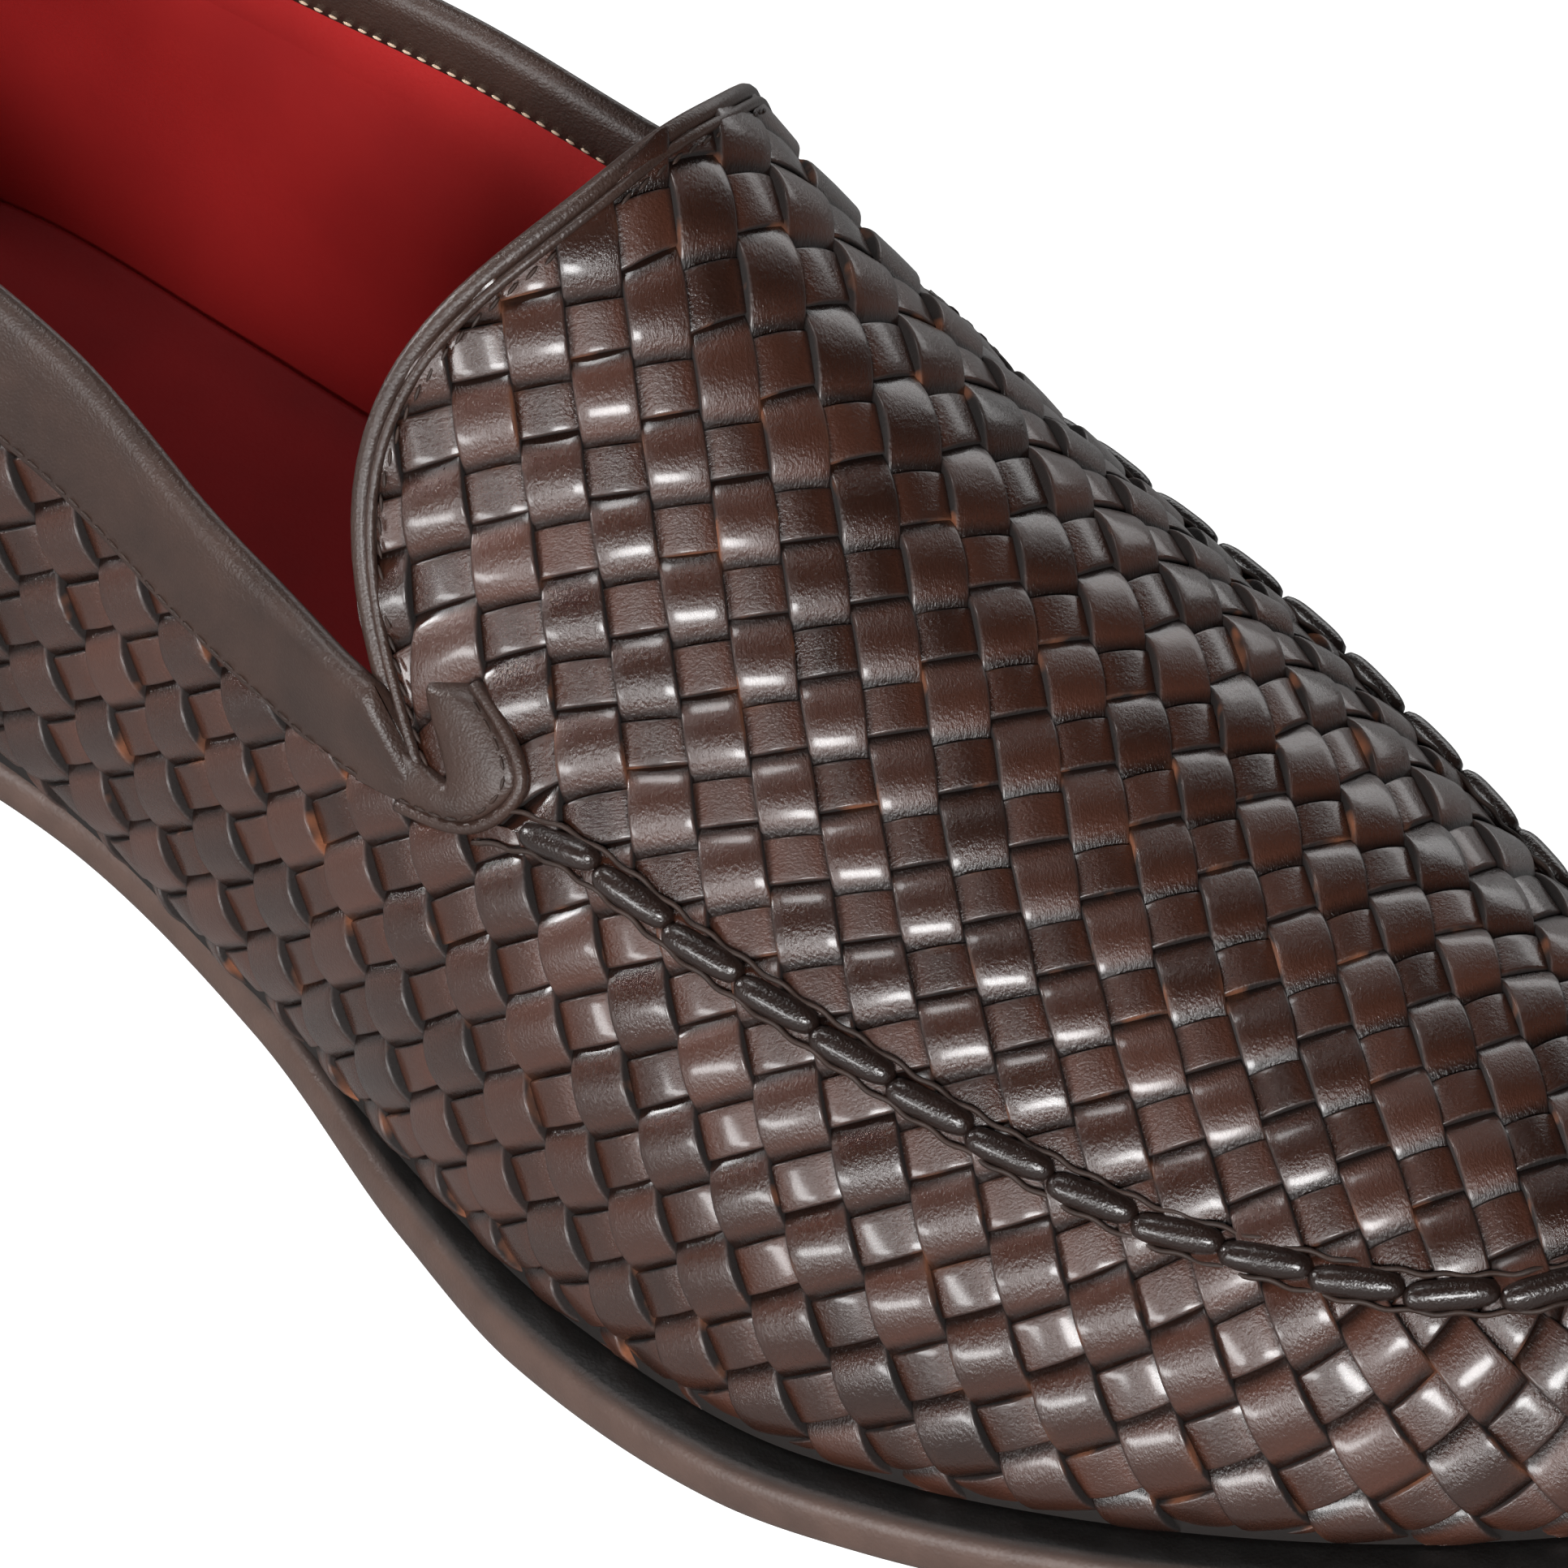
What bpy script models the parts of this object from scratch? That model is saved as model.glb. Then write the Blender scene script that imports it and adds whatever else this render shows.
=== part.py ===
"""Woven leather loafer, left foot, empty, standing on its sole.

Frame: +X to the toe, +Y to the wearer's left (the outer side), +Z up. Tables are in millimetres from the
back of the heel and the mesh is moved at the end, so that the origin is under the middle, on the floor.
"""

import bpy
import numpy as np

MM = 0.001

# Wall, sole and overlay sizes
WALL = 2.0
STRIP_RISE = 0.5
BAND_RISE = 0.7
GAP = 0.3
SOLE_THICK = 5.4
SOLE_ROUND = 1.3
INSOLE_THICK = 3.2
INSOLE_INSET = 3.4
HEEL_STEP = 0.8
HEEL_TAPER = 1.6
BREAST_X = 83.0
BREAST_HOLLOW = 6.0
BREAST_POINTS = 5
SEAM_RADIUS = 1.5
SEAM_SIDES = 6
SEAM_PUCKER = 0.25
SEAM_START = 4
BINDING_RADIUS = 1.5
BINDING_SIDES = 8
BINDING_START = 2
TAB_THICK = 1.4
TAB_CLEAR = 1.0
TAB_CORNER = 0.35
TAB_COLUMNS = range(1, 4)
TAB_ROWS = range(-1, 4)

# Mesh counts
SIDE_COLUMNS = 64
WALL_ROWS = 9
APRON_ROWS = 11
BAND_ROWS = 2
PLAIN_TOE_COLUMNS = 5
GUSSET_X = 154.0
GUSSET_LEAN = 9.0

HEEL_TIP = (0.0, 0.0)
TOE_TIP = (286.6, -3.6)

# Outsole: half widths on the inner and outer side, and the height of the tread
SOLE_COLUMNS = ("x", "inner", "outer", "tread")
SOLE_ROWS = (
    (4.0, 15.0, 15.0, 22.4),
    (12.0, 24.5, 24.5, 22.2),
    (25.0, 31.5, 31.0, 22.0),
    (46.0, 34.3, 33.8, 21.4),
    (73.0, 31.2, 34.5, 17.1),
    (99.5, 29.0, 36.5, 11.2),
    (126.0, 33.9, 42.0, 5.3),
    (153.0, 44.9, 50.5, 1.3),
    (172.0, 51.5, 54.6, 0.0),
    (198.0, 54.7, 55.2, 0.0),
    (214.0, 52.7, 52.0, 1.0),
    (233.0, 47.6, 45.5, 2.8),
    (252.5, 39.6, 36.0, 5.1),
    (268.6, 30.6, 25.5, 7.6),
    (279.3, 22.0, 15.5, 9.4),
    (284.6, 14.4, 7.4, 10.3),
)

# Last: how far the upper sets in from the sole edge, and its centre line
LAST_COLUMNS = ("x", "inset_inner", "inset_outer", "middle")
LAST_ROWS = (
    (0.0, 3.0, 3.0, 0.0),
    (46.0, 1.8, 2.4, 1.5),
    (73.0, 0.0, 1.6, 2.6),
    (115.0, -1.1, 1.2, 4.2),
    (148.0, 2.1, 2.6, 4.3),
    (180.0, 4.3, 4.2, 3.5),
    (220.0, 4.5, 4.5, 1.2),
    (250.0, 4.8, 4.8, -1.1),
    (286.6, 4.8, 4.8, -4.5),
)

# Seam line: apron seam on the forefoot, lower edge of the collar band on the quarters
SEAM_COLUMNS = ("x", "spread", "inner_z", "outer_z")
SEAM_ROWS = (
    (0.0, 0.96, 73.0, 73.0),
    (46.0, 0.98, 69.0, 69.0),
    (80.0, 1.01, 65.0, 65.0),
    (100.0, 1.01, 59.5, 62.5),
    (119.0, 1.00, 53.0, 57.0),
    (140.0, 0.95, 48.5, 51.0),
    (152.0, 0.89, 49.0, 50.5),
    (166.0, 0.81, 51.5, 51.5),
    (181.0, 0.765, 47.8, 48.5),
    (198.0, 0.735, 43.8, 45.0),
    (214.0, 0.725, 39.5, 41.5),
    (237.0, 0.74, 35.8, 38.0),
    (262.0, 0.80, 35.6, 37.0),
    (286.6, 0.84, 37.5, 37.5),
)

# Collar: the top line of the quarters
COLLAR_COLUMNS = ("x", "spread", "inner_z", "outer_z")
COLLAR_ROWS = (
    (0.0, 0.83, 86.0, 86.0),
    (46.0, 0.86, 82.0, 82.0),
    (80.0, 0.93, 78.5, 79.0),
    (100.0, 0.96, 73.0, 76.0),
    (119.0, 0.96, 65.0, 70.0),
    (140.0, 0.93, 60.0, 63.5),
    (154.0, 0.88, 58.5, 61.0),
)

# Ridge: the crest of the forefoot, from the tongue to the toe
RIDGE_COLUMNS = ("x", "z")
RIDGE_ROWS = (
    (126.0, 110.5),
    (142.0, 101.3),
    (154.0, 91.9),
    (165.0, 82.5),
    (175.0, 74.6),
    (190.0, 64.8),
    (205.0, 57.4),
    (220.0, 52.1),
    (235.0, 48.2),
    (250.0, 44.6),
    (262.0, 41.0),
)

# Shape of the wall between those lines, as parts of its height or width
SIDE_LOW_RISE = 0.34
SIDE_HIGH_RISE = 0.71
SIDE_HIGH_LEAN = 0.29
BELLY_BACK = 3.0
BELLY_FRONT = 1.0
BELLY_FROM_X = 110.0
BELLY_TO_X = 170.0
BELLY_TOP_SHARE = 0.5
SIDE_BLEND = 20.0
APRON_LOW_IN = {"inner": 0.23, "outer": 0.17}
APRON_LOW_RISE = 0.58
APRON_CROWN = {"inner": 0.43, "outer": 0.52}
TONGUE_BOW = 33.0
TONGUE_BOW_REACH = 62.0
TONGUE_IN = 0.07
TONGUE_RISE = 0.08
TONGUE_CROWN = 0.1
TONGUE_SHOULDER = 1.5
SEAM_HEEL_LEAN = 3.0
COLLAR_HEEL_LEAN = 9.6
HEEL_LEAN_REACH = 60.0
GUSSET_LEAN_FROM_X = 110.0
TOE_SET_BACK = 15.0
TOE_START_X = 190.0
RIDGE_TURN_X = 200.0
RIDGE_TOE_BACK = 18.0
RIDGE_TOE_REACH = 70.0
RIDGE_THROAT_BACK = 6.5
RIDGE_THROAT_REACH = 48.0


def column(columns, rows, name):
    return np.array([row[columns.index(name)] for row in rows])


def smooth(columns, rows, name, x):
    """Monotone cubic through one column of a table, held at its ends."""
    xs = column(columns, rows, "x")
    ys = column(columns, rows, name)
    step = np.diff(xs)
    slope = np.diff(ys) / step
    same_way = slope[:-1] * slope[1:] > 0
    total = np.where(same_way, slope[:-1] + slope[1:], 1.0)
    inside = np.where(same_way, 2 * slope[:-1] * slope[1:] / total, 0.0)
    tangent = np.concatenate(([slope[0]], inside, [slope[-1]]))
    i = np.clip(np.searchsorted(xs, x) - 1, 0, len(step) - 1)
    t = np.clip((x - xs[i]) / step[i], 0.0, 1.0)
    rise = (1 + 2 * t) * (1 - t) ** 2 * ys[i] + t * t * (3 - 2 * t) * ys[i + 1]
    return rise + step[i] * (t * (1 - t) ** 2 * tangent[i] - t * t * (1 - t) * tangent[i + 1])


def outline_loop(per_side):
    """Plan points round the outsole: heel tip, outer side, toe tip, inner side back to the heel."""
    xs = column(SOLE_COLUMNS, SOLE_ROWS, "x")
    outer = np.column_stack([xs, column(SOLE_COLUMNS, SOLE_ROWS, "outer")])
    inner = np.column_stack([xs, -column(SOLE_COLUMNS, SOLE_ROWS, "inner")])
    knots = np.vstack([[HEEL_TIP], outer, [TOE_TIP], inner[::-1]])
    chord = np.linalg.norm(np.roll(knots, -1, axis=0) - knots, axis=1)
    place = np.concatenate(([0.0], np.cumsum(chord)))
    before = np.roll(chord, 1)
    back_slope = (knots - np.roll(knots, 1, axis=0)) / before[:, None]
    on_slope = (np.roll(knots, -1, axis=0) - knots) / chord[:, None]
    share = (before / (before + chord))[:, None]
    tangent = back_slope * (1 - share) + on_slope * share
    toe = place[len(SOLE_ROWS) + 1]
    q = np.arange(per_side + 1) / per_side
    where = np.concatenate([q * toe, place[-1] - q[-2:0:-1] * (place[-1] - toe)])
    i = np.clip(np.searchsorted(place, where, side="right") - 1, 0, len(chord) - 1)
    j = (i + 1) % len(knots)
    t = ((where - place[i]) / chord[i])[:, None]
    size = chord[i][:, None]
    point = (1 + 2 * t) * (1 - t) ** 2 * knots[i] + t * t * (3 - 2 * t) * knots[j]
    return point + size * (t * (1 - t) ** 2 * tangent[i] - t * t * (1 - t) * tangent[j])


def outward(loop):
    """Plan normals of a closed loop that runs heel, outer side, toe, inner side."""
    along = np.roll(loop, -1, axis=0) - np.roll(loop, 1, axis=0)
    normal = np.column_stack([-along[:, 1], along[:, 0]])
    return normal / np.linalg.norm(normal, axis=1)[:, None]


def tread_z(x):
    return smooth(SOLE_COLUMNS, SOLE_ROWS, "tread", x)


def by_side(columns, rows, name, x, outer_side):
    """A column that has an inner and an outer value, blended across the two tips."""
    inner = smooth(columns, rows, name.format("inner"), x)
    outer = smooth(columns, rows, name.format("outer"), x)
    return inner + (outer - inner) * outer_side


def side_share(pair, outer_side):
    return pair["inner"] + (pair["outer"] - pair["inner"]) * outer_side


def middle_y(x):
    return smooth(LAST_COLUMNS, LAST_ROWS, "middle", x)


def ridge_z(x):
    return smooth(RIDGE_COLUMNS, RIDGE_ROWS, "z", x)


def bezier(p0, p1, p2, p3, count):
    t = np.linspace(0.0, 1.0, count + 1)[None, :, None]
    p0, p1, p2, p3 = (p[:, None, :] for p in (p0, p1, p2, p3))
    return (1 - t) ** 3 * p0 + 3 * t * (1 - t) ** 2 * p1 + 3 * t * t * (1 - t) * p2 + t ** 3 * p3


def feather_loop(loop):
    """Where the upper meets the sole, with its outward plan normals and a 0 to 1 share of the outer side."""
    out = outward(loop)
    outer_side = np.clip(0.5 + (loop[:, 1] - middle_y(loop[:, 0])) / SIDE_BLEND, 0.0, 1.0)
    inset = by_side(LAST_COLUMNS, LAST_ROWS, "inset_{}", loop[:, 0], outer_side)
    plan = loop - out * inset[:, None]
    z = tread_z(loop[:, 0]) + SOLE_THICK + GAP
    return np.column_stack([plan, z]), np.column_stack([out, np.zeros(len(out))]), outer_side


def line_above(feather, columns, rows, outer_side, heel_lean, toe_back):
    """A seam or collar line: the feather line drawn in to the middle and lifted to the table's height."""
    x = feather[:, 0]
    middle = middle_y(x)
    spread = smooth(columns, rows, "spread", x)
    lean = heel_lean * np.clip(1 - x / HEEL_LEAN_REACH, 0, 1) ** 2
    back = toe_back * np.clip((x - TOE_START_X) / (TOE_TIP[0] - TOE_START_X), 0, 1) ** 2
    y = middle + spread * (feather[:, 1] - middle)
    z = by_side(columns, rows, "{}_z", x, outer_side)
    return np.column_stack([x + lean - back, y, z])


def ridge_line(seam_x):
    """The ridge point that each apron column climbs to, and the slope of the ridge there."""
    throat = RIDGE_THROAT_BACK * np.clip((RIDGE_TURN_X - seam_x) / RIDGE_THROAT_REACH, 0, 1) ** 2
    toe = RIDGE_TOE_BACK * np.clip((seam_x - RIDGE_TURN_X) / RIDGE_TOE_REACH, 0, 1) ** 2
    x = seam_x - throat - toe
    slope = ridge_z(x + 0.5) - ridge_z(x - 0.5)
    return np.column_stack([x, middle_y(x), ridge_z(x)]), slope


def upper_forms():
    """The smooth outer face of the upper: side wall, apron columns and collar band, on one set of columns."""
    loop = outline_loop(SIDE_COLUMNS)
    feather, out, outer_side = feather_loop(loop)
    seam = line_above(feather, SEAM_COLUMNS, SEAM_ROWS, outer_side, SEAM_HEEL_LEAN, TOE_SET_BACK)
    collar = line_above(feather, COLLAR_COLUMNS, COLLAR_ROWS, outer_side, COLLAR_HEEL_LEAN, 0.0)
    gusset_share = (feather[:, 0] - GUSSET_LEAN_FROM_X) / (GUSSET_X - GUSSET_LEAN_FROM_X)
    collar[:, 0] -= GUSSET_LEAN * np.clip(gusset_share, 0, 1) ** 2
    rise = (seam[:, 2] - feather[:, 2])[:, None] * np.array([0.0, 0.0, 1.0])
    flat = (seam - feather) * np.array([1.0, 1.0, 0.0])
    front = np.clip((feather[:, 0] - BELLY_FROM_X) / (BELLY_TO_X - BELLY_FROM_X), 0, 1)
    belly = (BELLY_BACK + (BELLY_FRONT - BELLY_BACK) * front)[:, None] * out
    low = feather + belly + SIDE_LOW_RISE * rise
    high = feather + SIDE_HIGH_LEAN * flat + SIDE_HIGH_RISE * rise + BELLY_TOP_SHARE * belly
    wall = bezier(feather, low, high, seam, WALL_ROWS)

    ridge, slope = ridge_line(seam[:, 0])
    pair = (2 * SIDE_COLUMNS - np.arange(2 * SIDE_COLUMNS)) % (2 * SIDE_COLUMNS)
    ridge = (ridge + ridge[pair]) / 2
    slope = (slope + slope[pair]) / 2
    bow = np.clip(1 - (seam[:, 0] - GUSSET_X) / TONGUE_BOW_REACH, 0, 1) ** 2
    lip = bow ** 2
    low_in = side_share(APRON_LOW_IN, outer_side) + TONGUE_IN * lip
    crown = side_share(APRON_CROWN, outer_side) + TONGUE_CROWN * lip
    span = ridge - seam
    low = seam + span * np.column_stack([low_in, low_in, APRON_LOW_RISE + TONGUE_RISE * lip])
    low[:, 0] -= TONGUE_BOW * bow
    high = ridge - span * crown[:, None] * np.array([1.0, 1.0, 0.0])
    high[:, 2] += slope * (high[:, 0] - ridge[:, 0]) - TONGUE_SHOULDER * lip
    apron = bezier(seam, low, high, ridge, APRON_ROWS)
    share = np.linspace(0.0, 1.0, BAND_ROWS + 1)[None, :, None]
    band = seam[:, None, :] * (1 - share) + collar[:, None, :] * share
    return wall, apron, band


def new_object(name, points, faces, colour, roughness):
    mesh = bpy.data.meshes.new(name)
    mesh.from_pydata([tuple(p) for p in np.asarray(points) * MM], [], faces)
    mesh.update()
    material = bpy.data.materials.new(name)
    material.use_nodes = True
    shader = material.node_tree.nodes["Principled BSDF"]
    shader.inputs["Base Color"].default_value = (*colour, 1.0)
    shader.inputs["Roughness"].default_value = roughness
    mesh.materials.append(material)
    made = bpy.data.objects.new(name, mesh)
    bpy.data.collections[OBJECT_NAME].objects.link(made)
    return made


def vertex_normals(points, faces):
    normals = np.zeros_like(points)
    for face in faces:
        corner = points[list(face)]
        normal = np.cross(corner[2] - corner[0], corner[-1] - corner[1])
        normals[list(face)] += normal
    return normals / np.linalg.norm(normals, axis=1)[:, None]


def thick_skin(points, faces, outer_lift, depth):
    """A closed wall from an open skin: the skin lifted, the skin sunk, and a rim round every open edge."""
    normals = vertex_normals(points, faces)
    count = len(points)
    both = np.vstack([points + normals * outer_lift[:, None], points - normals * depth])
    shell = [tuple(face) for face in faces]
    shell += [tuple(count + v for v in reversed(face)) for face in faces]
    edges = {(face[k], face[(k + 1) % len(face)]) for face in faces for k in range(len(face))}
    shell += [(b, a, a + count, b + count) for a, b in edges if (b, a) not in edges]
    return both, shell


def make_upper():
    wall, apron, band = upper_forms()
    columns = 2 * SIDE_COLUMNS
    gusset = int(np.argmin(np.abs(wall[: SIDE_COLUMNS, 0, 0] - GUSSET_X)))
    points = []
    lift = []
    index = {}

    def vertex(key, point, rise):
        if key not in index:
            index[key] = len(points)
            points.append(point)
            lift.append(rise)
        return index[key]

    def raised(c, row):
        return STRIP_RISE if (c + row) % 2 == 0 else 0.0

    def wall_vertex(c, row):
        c %= columns
        rise = 0.0 if row in (0, WALL_ROWS) else raised(c, row)
        return vertex(("wall", c, row), wall[c, row], rise)

    def apron_vertex(c, row):
        if row == 0:
            return wall_vertex(c, WALL_ROWS)
        if row == APRON_ROWS:
            c = min(c, columns - c)
        at_throat = c in (gusset, columns - gusset)
        at_toe = abs(c - SIDE_COLUMNS) < PLAIN_TOE_COLUMNS and row > APRON_ROWS // 2
        rise = 0.0 if at_throat or at_toe else raised(c, row + WALL_ROWS)
        return vertex(("apron", c, row), apron[c, row], rise)

    def band_vertex(c, row):
        c %= columns
        if row == 0:
            return wall_vertex(c, WALL_ROWS)
        return vertex(("band", c, row), band[c, row], BAND_RISE)

    def cell(corner, c, row):
        around = ((c, row), (c, row + 1), (c + 1, row + 1), (c + 1, row))
        return tuple(dict.fromkeys(corner(*place) for place in around))

    faces = [cell(wall_vertex, c, row) for c in range(columns) for row in range(WALL_ROWS)]
    over_top = range(gusset, columns - gusset)
    faces += [cell(apron_vertex, c, row) for c in over_top for row in range(APRON_ROWS)]
    faces += [cell(band_vertex, c, row) for c in range(-gusset, gusset) for row in range(BAND_ROWS)]
    solid = thick_skin(np.array(points), faces, np.array(lift), WALL)
    seam = apron[gusset : columns - gusset + 1, 0]
    throat = np.vstack([apron[columns - gusset], apron[gusset, -2::-1]])
    inside = np.vstack([apron[columns - gusset - 1], apron[gusset + 1, -2::-1]])
    return solid, seam, (throat, inside), (np.array(points), faces), index, gusset


def ladder(loops):
    """A closed solid from loops stacked upwards, each running heel, outer side, toe, inner side."""
    count = len(loops[0])
    half = count // 2
    points = np.vstack(loops)
    faces = []
    for level in range(len(loops) - 1):
        for c in range(count):
            a, b = level * count + c, level * count + (c + 1) % count
            faces.append((a, a + count, b + count, b))
    top = (len(loops) - 1) * count
    for k in range(half):
        near = ((count - k) % count, (count - k - 1) % count)
        lid = list(dict.fromkeys((k, k + 1, near[1], near[0])))
        faces.append(tuple(lid))
        faces.append(tuple(top + v for v in reversed(lid)))
    return points, faces


def make_outsole():
    loop = outline_loop(SIDE_COLUMNS)
    out = outward(loop)
    tread = tread_z(loop[:, 0])
    steps = ((SOLE_ROUND, 0.0), (0.0, SOLE_ROUND), (0.0, SOLE_THICK - SOLE_ROUND), (SOLE_ROUND, SOLE_THICK))
    return ladder([np.column_stack([loop - out * inset, tread + height]) for inset, height in steps])


def make_insole():
    loop = outline_loop(SIDE_COLUMNS // 2)
    feather, out, _ = feather_loop(loop)
    low = feather - out * INSOLE_INSET
    return ladder([low, low + np.array([0.0, 0.0, INSOLE_THICK])])


def make_heel():
    """The rear of the outline down to the floor, closed in front by a hollow breast."""
    loop = outline_loop(SIDE_COLUMNS)
    out = outward(loop)
    loop = loop - out * HEEL_STEP
    outer = [p for p in loop[1:SIDE_COLUMNS] if p[0] < BREAST_X]
    inner = [p for p in loop[:SIDE_COLUMNS:-1] if p[0] < BREAST_X]
    count = min(len(outer), len(inner))
    outer, inner = np.array(outer[:count]), np.array(inner[:count])
    share = np.linspace(0.0, 1.0, BREAST_POINTS + 2)[1:-1, None]
    breast = outer[-1] + (inner[-1] - outer[-1]) * share
    breast[:, 0] -= BREAST_HOLLOW * (1 - (2 * share[:, 0] - 1) ** 2)
    near_half = BREAST_POINTS // 2 + 1
    half = np.vstack([loop[:1], outer, breast[:near_half]])
    other = np.vstack([inner, breast[: near_half - 1 : -1]])
    plan = np.vstack([half, other[::-1]])
    middle = np.array([plan[:, 0].mean(), 0.0])
    towards = (middle - plan) / np.linalg.norm(middle - plan, axis=1)[:, None]
    foot = plan + towards * HEEL_TAPER
    top = tread_z(plan[:, 0]) - GAP
    return ladder([np.column_stack([foot, np.zeros(len(plan))]), np.column_stack([plan, top])])


def tube(path, radius, sides, squeeze):
    """A closed rope along a path; squeeze is the share of its radius lost at every other ring."""
    along = np.gradient(path, axis=0)
    along /= np.linalg.norm(along, axis=1)[:, None]
    first = np.cross(along, np.array([0.0, 0.0, 1.0]))
    first /= np.linalg.norm(first, axis=1)[:, None]
    second = np.cross(first, along)
    turn = np.linspace(0.0, 2 * np.pi, sides, endpoint=False)
    size = radius * (1 - squeeze * (np.arange(len(path)) % 2))
    ring = first[:, None] * np.cos(turn)[None, :, None] + second[:, None] * np.sin(turn)[None, :, None]
    points = (path[:, None] + ring * size[:, None, None]).reshape(-1, 3)
    faces = []
    for k in range(len(path) - 1):
        for s in range(sides):
            a, b = k * sides + s, k * sides + (s + 1) % sides
            faces.append((a, a + sides, b + sides, b))
    faces.append(tuple(range(sides)))
    faces.append(tuple((len(path) - 1) * sides + s for s in reversed(range(sides))))
    return points, faces


def make_seam(seam, skin):
    points, faces = skin
    normals = vertex_normals(points, faces)
    nearest = np.array([np.argmin(((points - p) ** 2).sum(axis=1)) for p in seam])
    path = seam + normals[nearest] * (SEAM_RADIUS + GAP)
    return tube(path[SEAM_START:-SEAM_START], SEAM_RADIUS, SEAM_SIDES, SEAM_PUCKER)


def make_binding(throat, inside):
    """A rolled edge that follows the throat just behind the wall, from gusset to gusset over the ridge."""
    back = throat - inside
    back /= np.linalg.norm(back, axis=1)[:, None]
    path = throat + back * (BINDING_RADIUS + GAP)
    return tube(path[BINDING_START:-BINDING_START], BINDING_RADIUS, BINDING_SIDES, 0.0)


def make_tab(skin, index, gusset, side):
    """A leaf of leather over the foot of the gusset: some of the skin's cells, lifted clear of the strips."""
    points, faces = skin
    normals = vertex_normals(points, faces)
    last = 2 * SIDE_COLUMNS - gusset
    across = [gusset + k if side == "outer" else last - k for k in TAB_COLUMNS]
    keys = [("wall", WALL_ROWS + row) if row <= 0 else ("apron", row) for row in TAB_ROWS]
    cells = np.array([[index[(panel, c, row)] for c in across] for panel, row in keys])
    layers = []
    for height in (TAB_CLEAR, TAB_CLEAR + TAB_THICK):
        patch = points[cells] + normals[cells] * height
        for r, r_in in ((0, 1), (-1, -2)):
            for k, k_in in ((0, 1), (-1, -2)):
                patch[r, k] += TAB_CORNER * (patch[r_in, k_in] - patch[r, k])
        layers.append(patch.reshape(-1, 3))
    wide = len(across)
    grid = []
    for r in range(len(keys) - 1):
        for k in range(wide - 1):
            cell = (wide * r + k, wide * (r + 1) + k, wide * (r + 1) + k + 1, wide * r + k + 1)
            grid.append(cell if side == "outer" else cell[::-1])
    count = len(layers[0])
    edges = {(f[k], f[(k + 1) % 4]) for f in grid for k in range(4)}
    solid = [tuple(count + v for v in f) for f in grid] + [tuple(reversed(f)) for f in grid]
    solid += [(a, b, b + count, a + count) for a, b in edges if (b, a) not in edges]
    return np.vstack(layers), solid


OBJECT_NAME = "woven_loafer"
LEATHER = (0.052, 0.030, 0.022)
SOLE_BROWN = (0.11, 0.085, 0.07)
HEEL_RED = (0.045, 0.010, 0.012)
SOCK_RED = (0.10, 0.012, 0.012)

for old in list(bpy.data.objects):
    bpy.data.objects.remove(old)
bpy.context.scene.collection.children.link(bpy.data.collections.new(OBJECT_NAME))

upper, seam_line, throat_line, upper_skin, skin_index, gusset_column = make_upper()
pieces = {
    "upper": (upper, LEATHER, 0.45),
    "outsole": (make_outsole(), SOLE_BROWN, 0.5),
    "heel": (make_heel(), HEEL_RED, 0.5),
    "insole": (make_insole(), SOCK_RED, 0.6),
    "apron_seam": (make_seam(seam_line, upper_skin), LEATHER, 0.45),
    "throat_binding": (make_binding(*throat_line), LEATHER, 0.45),
    "side_tab_inner": (make_tab(upper_skin, skin_index, gusset_column, "inner"), LEATHER, 0.45),
    "side_tab_outer": (make_tab(upper_skin, skin_index, gusset_column, "outer"), LEATHER, 0.45),
}
everything = np.vstack([solid[0] for solid, _, _ in pieces.values()])
low, high = everything.min(axis=0), everything.max(axis=0)
origin = np.array([(low[0] + high[0]) / 2, (low[1] + high[1]) / 2, low[2]])
for name, (solid, colour, roughness) in pieces.items():
    new_object(name, solid[0] - origin, solid[1], colour, roughness)
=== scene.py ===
"""Looks of the woven leather loafer: each visible piece with its finish, then the studio and the camera.

Sizes are in millimetres from the back of the heel, as in the part's own tables. place() moves them into the
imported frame, in metres: +X to the toe, +Y to the wearer's left (the outer side), +Z up.
"""

import bpy
import numpy as np
from mathutils import Matrix, Vector
from mathutils.bvhtree import BVHTree


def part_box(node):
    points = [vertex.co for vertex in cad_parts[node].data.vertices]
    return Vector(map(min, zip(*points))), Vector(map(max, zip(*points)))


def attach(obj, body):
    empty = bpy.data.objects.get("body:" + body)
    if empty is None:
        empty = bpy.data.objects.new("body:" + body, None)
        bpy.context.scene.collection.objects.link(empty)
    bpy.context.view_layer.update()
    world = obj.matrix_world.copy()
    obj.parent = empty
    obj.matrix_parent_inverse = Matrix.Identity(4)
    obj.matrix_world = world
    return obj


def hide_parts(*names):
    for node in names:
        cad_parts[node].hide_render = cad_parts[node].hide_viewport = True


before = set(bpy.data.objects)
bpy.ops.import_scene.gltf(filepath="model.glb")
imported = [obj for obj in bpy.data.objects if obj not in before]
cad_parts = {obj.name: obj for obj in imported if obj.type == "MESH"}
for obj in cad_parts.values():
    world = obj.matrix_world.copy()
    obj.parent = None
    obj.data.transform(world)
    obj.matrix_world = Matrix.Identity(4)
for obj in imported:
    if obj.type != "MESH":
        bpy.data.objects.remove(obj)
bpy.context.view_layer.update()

# Outsole: one leather sole with a trimmed and waxed edge, cut to the last's outline with an arched waist
# and toe spring. It is stitched on under the upper, so a narrow ledge of it shows all round.
MM = 0.001
FINE_COLUMNS = 256
CAD_COLUMNS = 64
HEEL_TIP = (0.0, 0.0)
TOE_TIP = (286.6, -3.6)
ROUGH_SPREAD = 0.08
CREASE_SCALE_SHARE = 0.55
PIT_SHARE = 0.5
LEDGE_BLACK = (9, 7, 6)

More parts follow.
